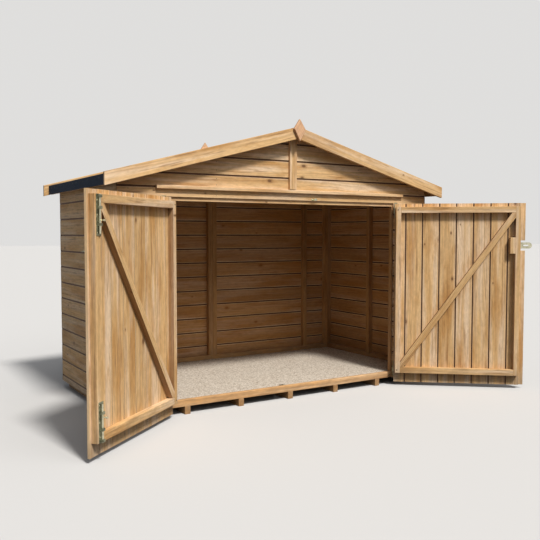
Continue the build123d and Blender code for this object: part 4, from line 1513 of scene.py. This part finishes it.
@dataclass
class Studio:
    """Camera, lamps, world and the pale floor."""

    focal_pixels: float = 693.8
    camera_place: tuple[float, float, float] = (-2.552, -4.4385, 1.111)
    yaw_degrees: float = 31.82
    pitch_degrees: float = 3.02
    sun_direction: tuple[float, float, float] = (0.03, -0.615, 0.788)
    sun_strength: float = 3.5
    sun_softness_degrees: float = 9.0
    sun_colour: str = "#FFFCF6"
    fill_direction: tuple[float, float, float] = (0.1, -0.6, 0.75)
    fill_strength: float = 0.95
    fill_softness_degrees: float = 60.0
    sky_colour: str = "#E4ECF6"
    sky_strength: float = 0.22
    backdrop_level: float = 0.74
    backdrop_tint: tuple[float, float, float] = (1.0, 0.99, 0.975)
    floor_colour: str = "#CFCECE"
    floor_bounce: str = "#4E4B48"
    floor_half_side: float = 60.0

    def build(self) -> None:
        """Sets up the studio."""
        self.camera()
        self.lamps()
        self.sky()
        self.ground()
        bpy.context.scene.view_settings.view_transform = "Standard"

    def camera(self) -> None:
        """Places the camera at the photograph's angle: its axes are right, up and away from the view."""
        yaw, pitch = math.radians(self.yaw_degrees), math.radians(self.pitch_degrees)
        right = (math.cos(yaw), -math.sin(yaw), 0)
        up = (math.sin(yaw) * math.sin(pitch), math.cos(yaw) * math.sin(pitch), math.cos(pitch))
        ahead = (math.sin(yaw) * math.cos(pitch), math.cos(yaw) * math.cos(pitch), -math.sin(pitch))
        data = bpy.data.cameras.new("photo_view")
        data.sensor_width = SENSOR_WIDTH
        data.lens = self.focal_pixels * SENSOR_WIDTH / IMAGE_WIDTH
        camera = bpy.data.objects.new("photo_view", data)
        turn = Matrix((right, up, tuple(-part for part in ahead))).transposed()
        camera.matrix_world = Matrix.Translation(self.camera_place) @ turn.to_4x4()
        bpy.context.scene.collection.objects.link(camera)
        bpy.context.scene.camera = camera

    def lamps(self) -> None:
        """Adds the key lamp, a soft sun from the front, and a wider and weaker one to fill its shadows."""
        for name, toward, strength, softness in (
                ("soft_key", self.sun_direction, self.sun_strength, self.sun_softness_degrees),
                ("wide_fill", self.fill_direction, self.fill_strength, self.fill_softness_degrees)):
            data = bpy.data.lights.new(name, "SUN")
            data.energy = strength
            data.color = linear(self.sun_colour)[:3]
            data.angle = math.radians(softness)
            lamp = bpy.data.objects.new(name, data)
            away = np.array(toward) / np.linalg.norm(toward)
            side = np.cross((0, 0, 1), away)
            side /= np.linalg.norm(side)
            lamp.matrix_world = Matrix((side, np.cross(away, side), away)).transposed().to_4x4()
            bpy.context.scene.collection.objects.link(lamp)

    @staticmethod
    def seen(tree: bpy.types.NodeTree) -> bpy.types.NodeSocket:
        """Tells rays by which the camera, gloss or glass sees the backdrop from those that light the object.

        Args:
            tree: the node tree of the world or the floor.

        Returns:
            1 for a ray that sees, else 0.
        """
        path = add(tree, "LightPath")
        direct = add(tree, "Math", {"operation": "MAXIMUM"}, in0=path.outputs["Is Camera Ray"],
                     in1=path.outputs["Is Glossy Ray"]).outputs[0]
        return add(tree, "Math", {"operation": "MAXIMUM"}, in0=direct,
                   in1=path.outputs["Is Transmission Ray"]).outputs[0]

    def sky(self) -> None:
        """Makes the world: a dim cool sky as light, and to the eye a backdrop as bright as the floor."""
        world = bpy.data.worlds.new("studio")
        bpy.context.scene.world = world
        world.use_nodes = True
        tree = world.node_tree
        tree.nodes.clear()
        light = tuple(self.sky_strength * part for part in linear(self.sky_colour)[:3])
        backdrop = tuple(self.backdrop_level * part for part in self.backdrop_tint)
        colour = add(tree, "Mix", {"data_type": "RGBA"}, in0=self.seen(tree), in6=(*light, 1.0),
                     in7=(*backdrop, 1.0)).outputs[2]
        background = add(tree, "Background", None, Color=colour, Strength=1.0)
        output = add(tree, "OutputWorld")
        tree.links.new(background.outputs["Background"], output.inputs["Surface"])

    def ground(self) -> None:
        """Lays the plain floor, which is pale to the eye and sends back less light than it seems to."""
        half = self.floor_half_side
        corners = np.array([(-half, -half, 0), (half, -half, 0), (half, half, 0), (-half, half, 0)])
        mesh = plain_mesh("studio_floor", corners, [(0, 1, 2, 3)])
        material, tree, shader = fresh_material("pale_studio_floor")
        colour = add(tree, "Mix", {"data_type": "RGBA"}, in0=self.seen(tree), in6=linear(self.floor_bounce),
                     in7=linear(self.floor_colour)).outputs[2]
        tree.links.new(colour, shader.inputs["Base Color"])
        shader.inputs["Roughness"].default_value = 0.9
        shader.inputs["Specular IOR Level"].default_value = 0.0
        placed("studio_floor", mesh, material)


def main() -> None:
    """Builds the sub-assemblies in order."""
    logging.basicConfig(level=logging.INFO, format="%(name)s %(message)s")
    rng = np.random.default_rng(SEED)
    Studio().build()
    Floor().build(rng)
    Walls().build(rng)
    Roof().build(rng)
    leaves = [Leaf(Side.LEFT, back_vee=1.8 * MM), Leaf(Side.RIGHT)]
    for leaf in leaves:
        leaf.build(rng)
    Ironmongery(*leaves).build()


if __name__ == "__main__":
    main()
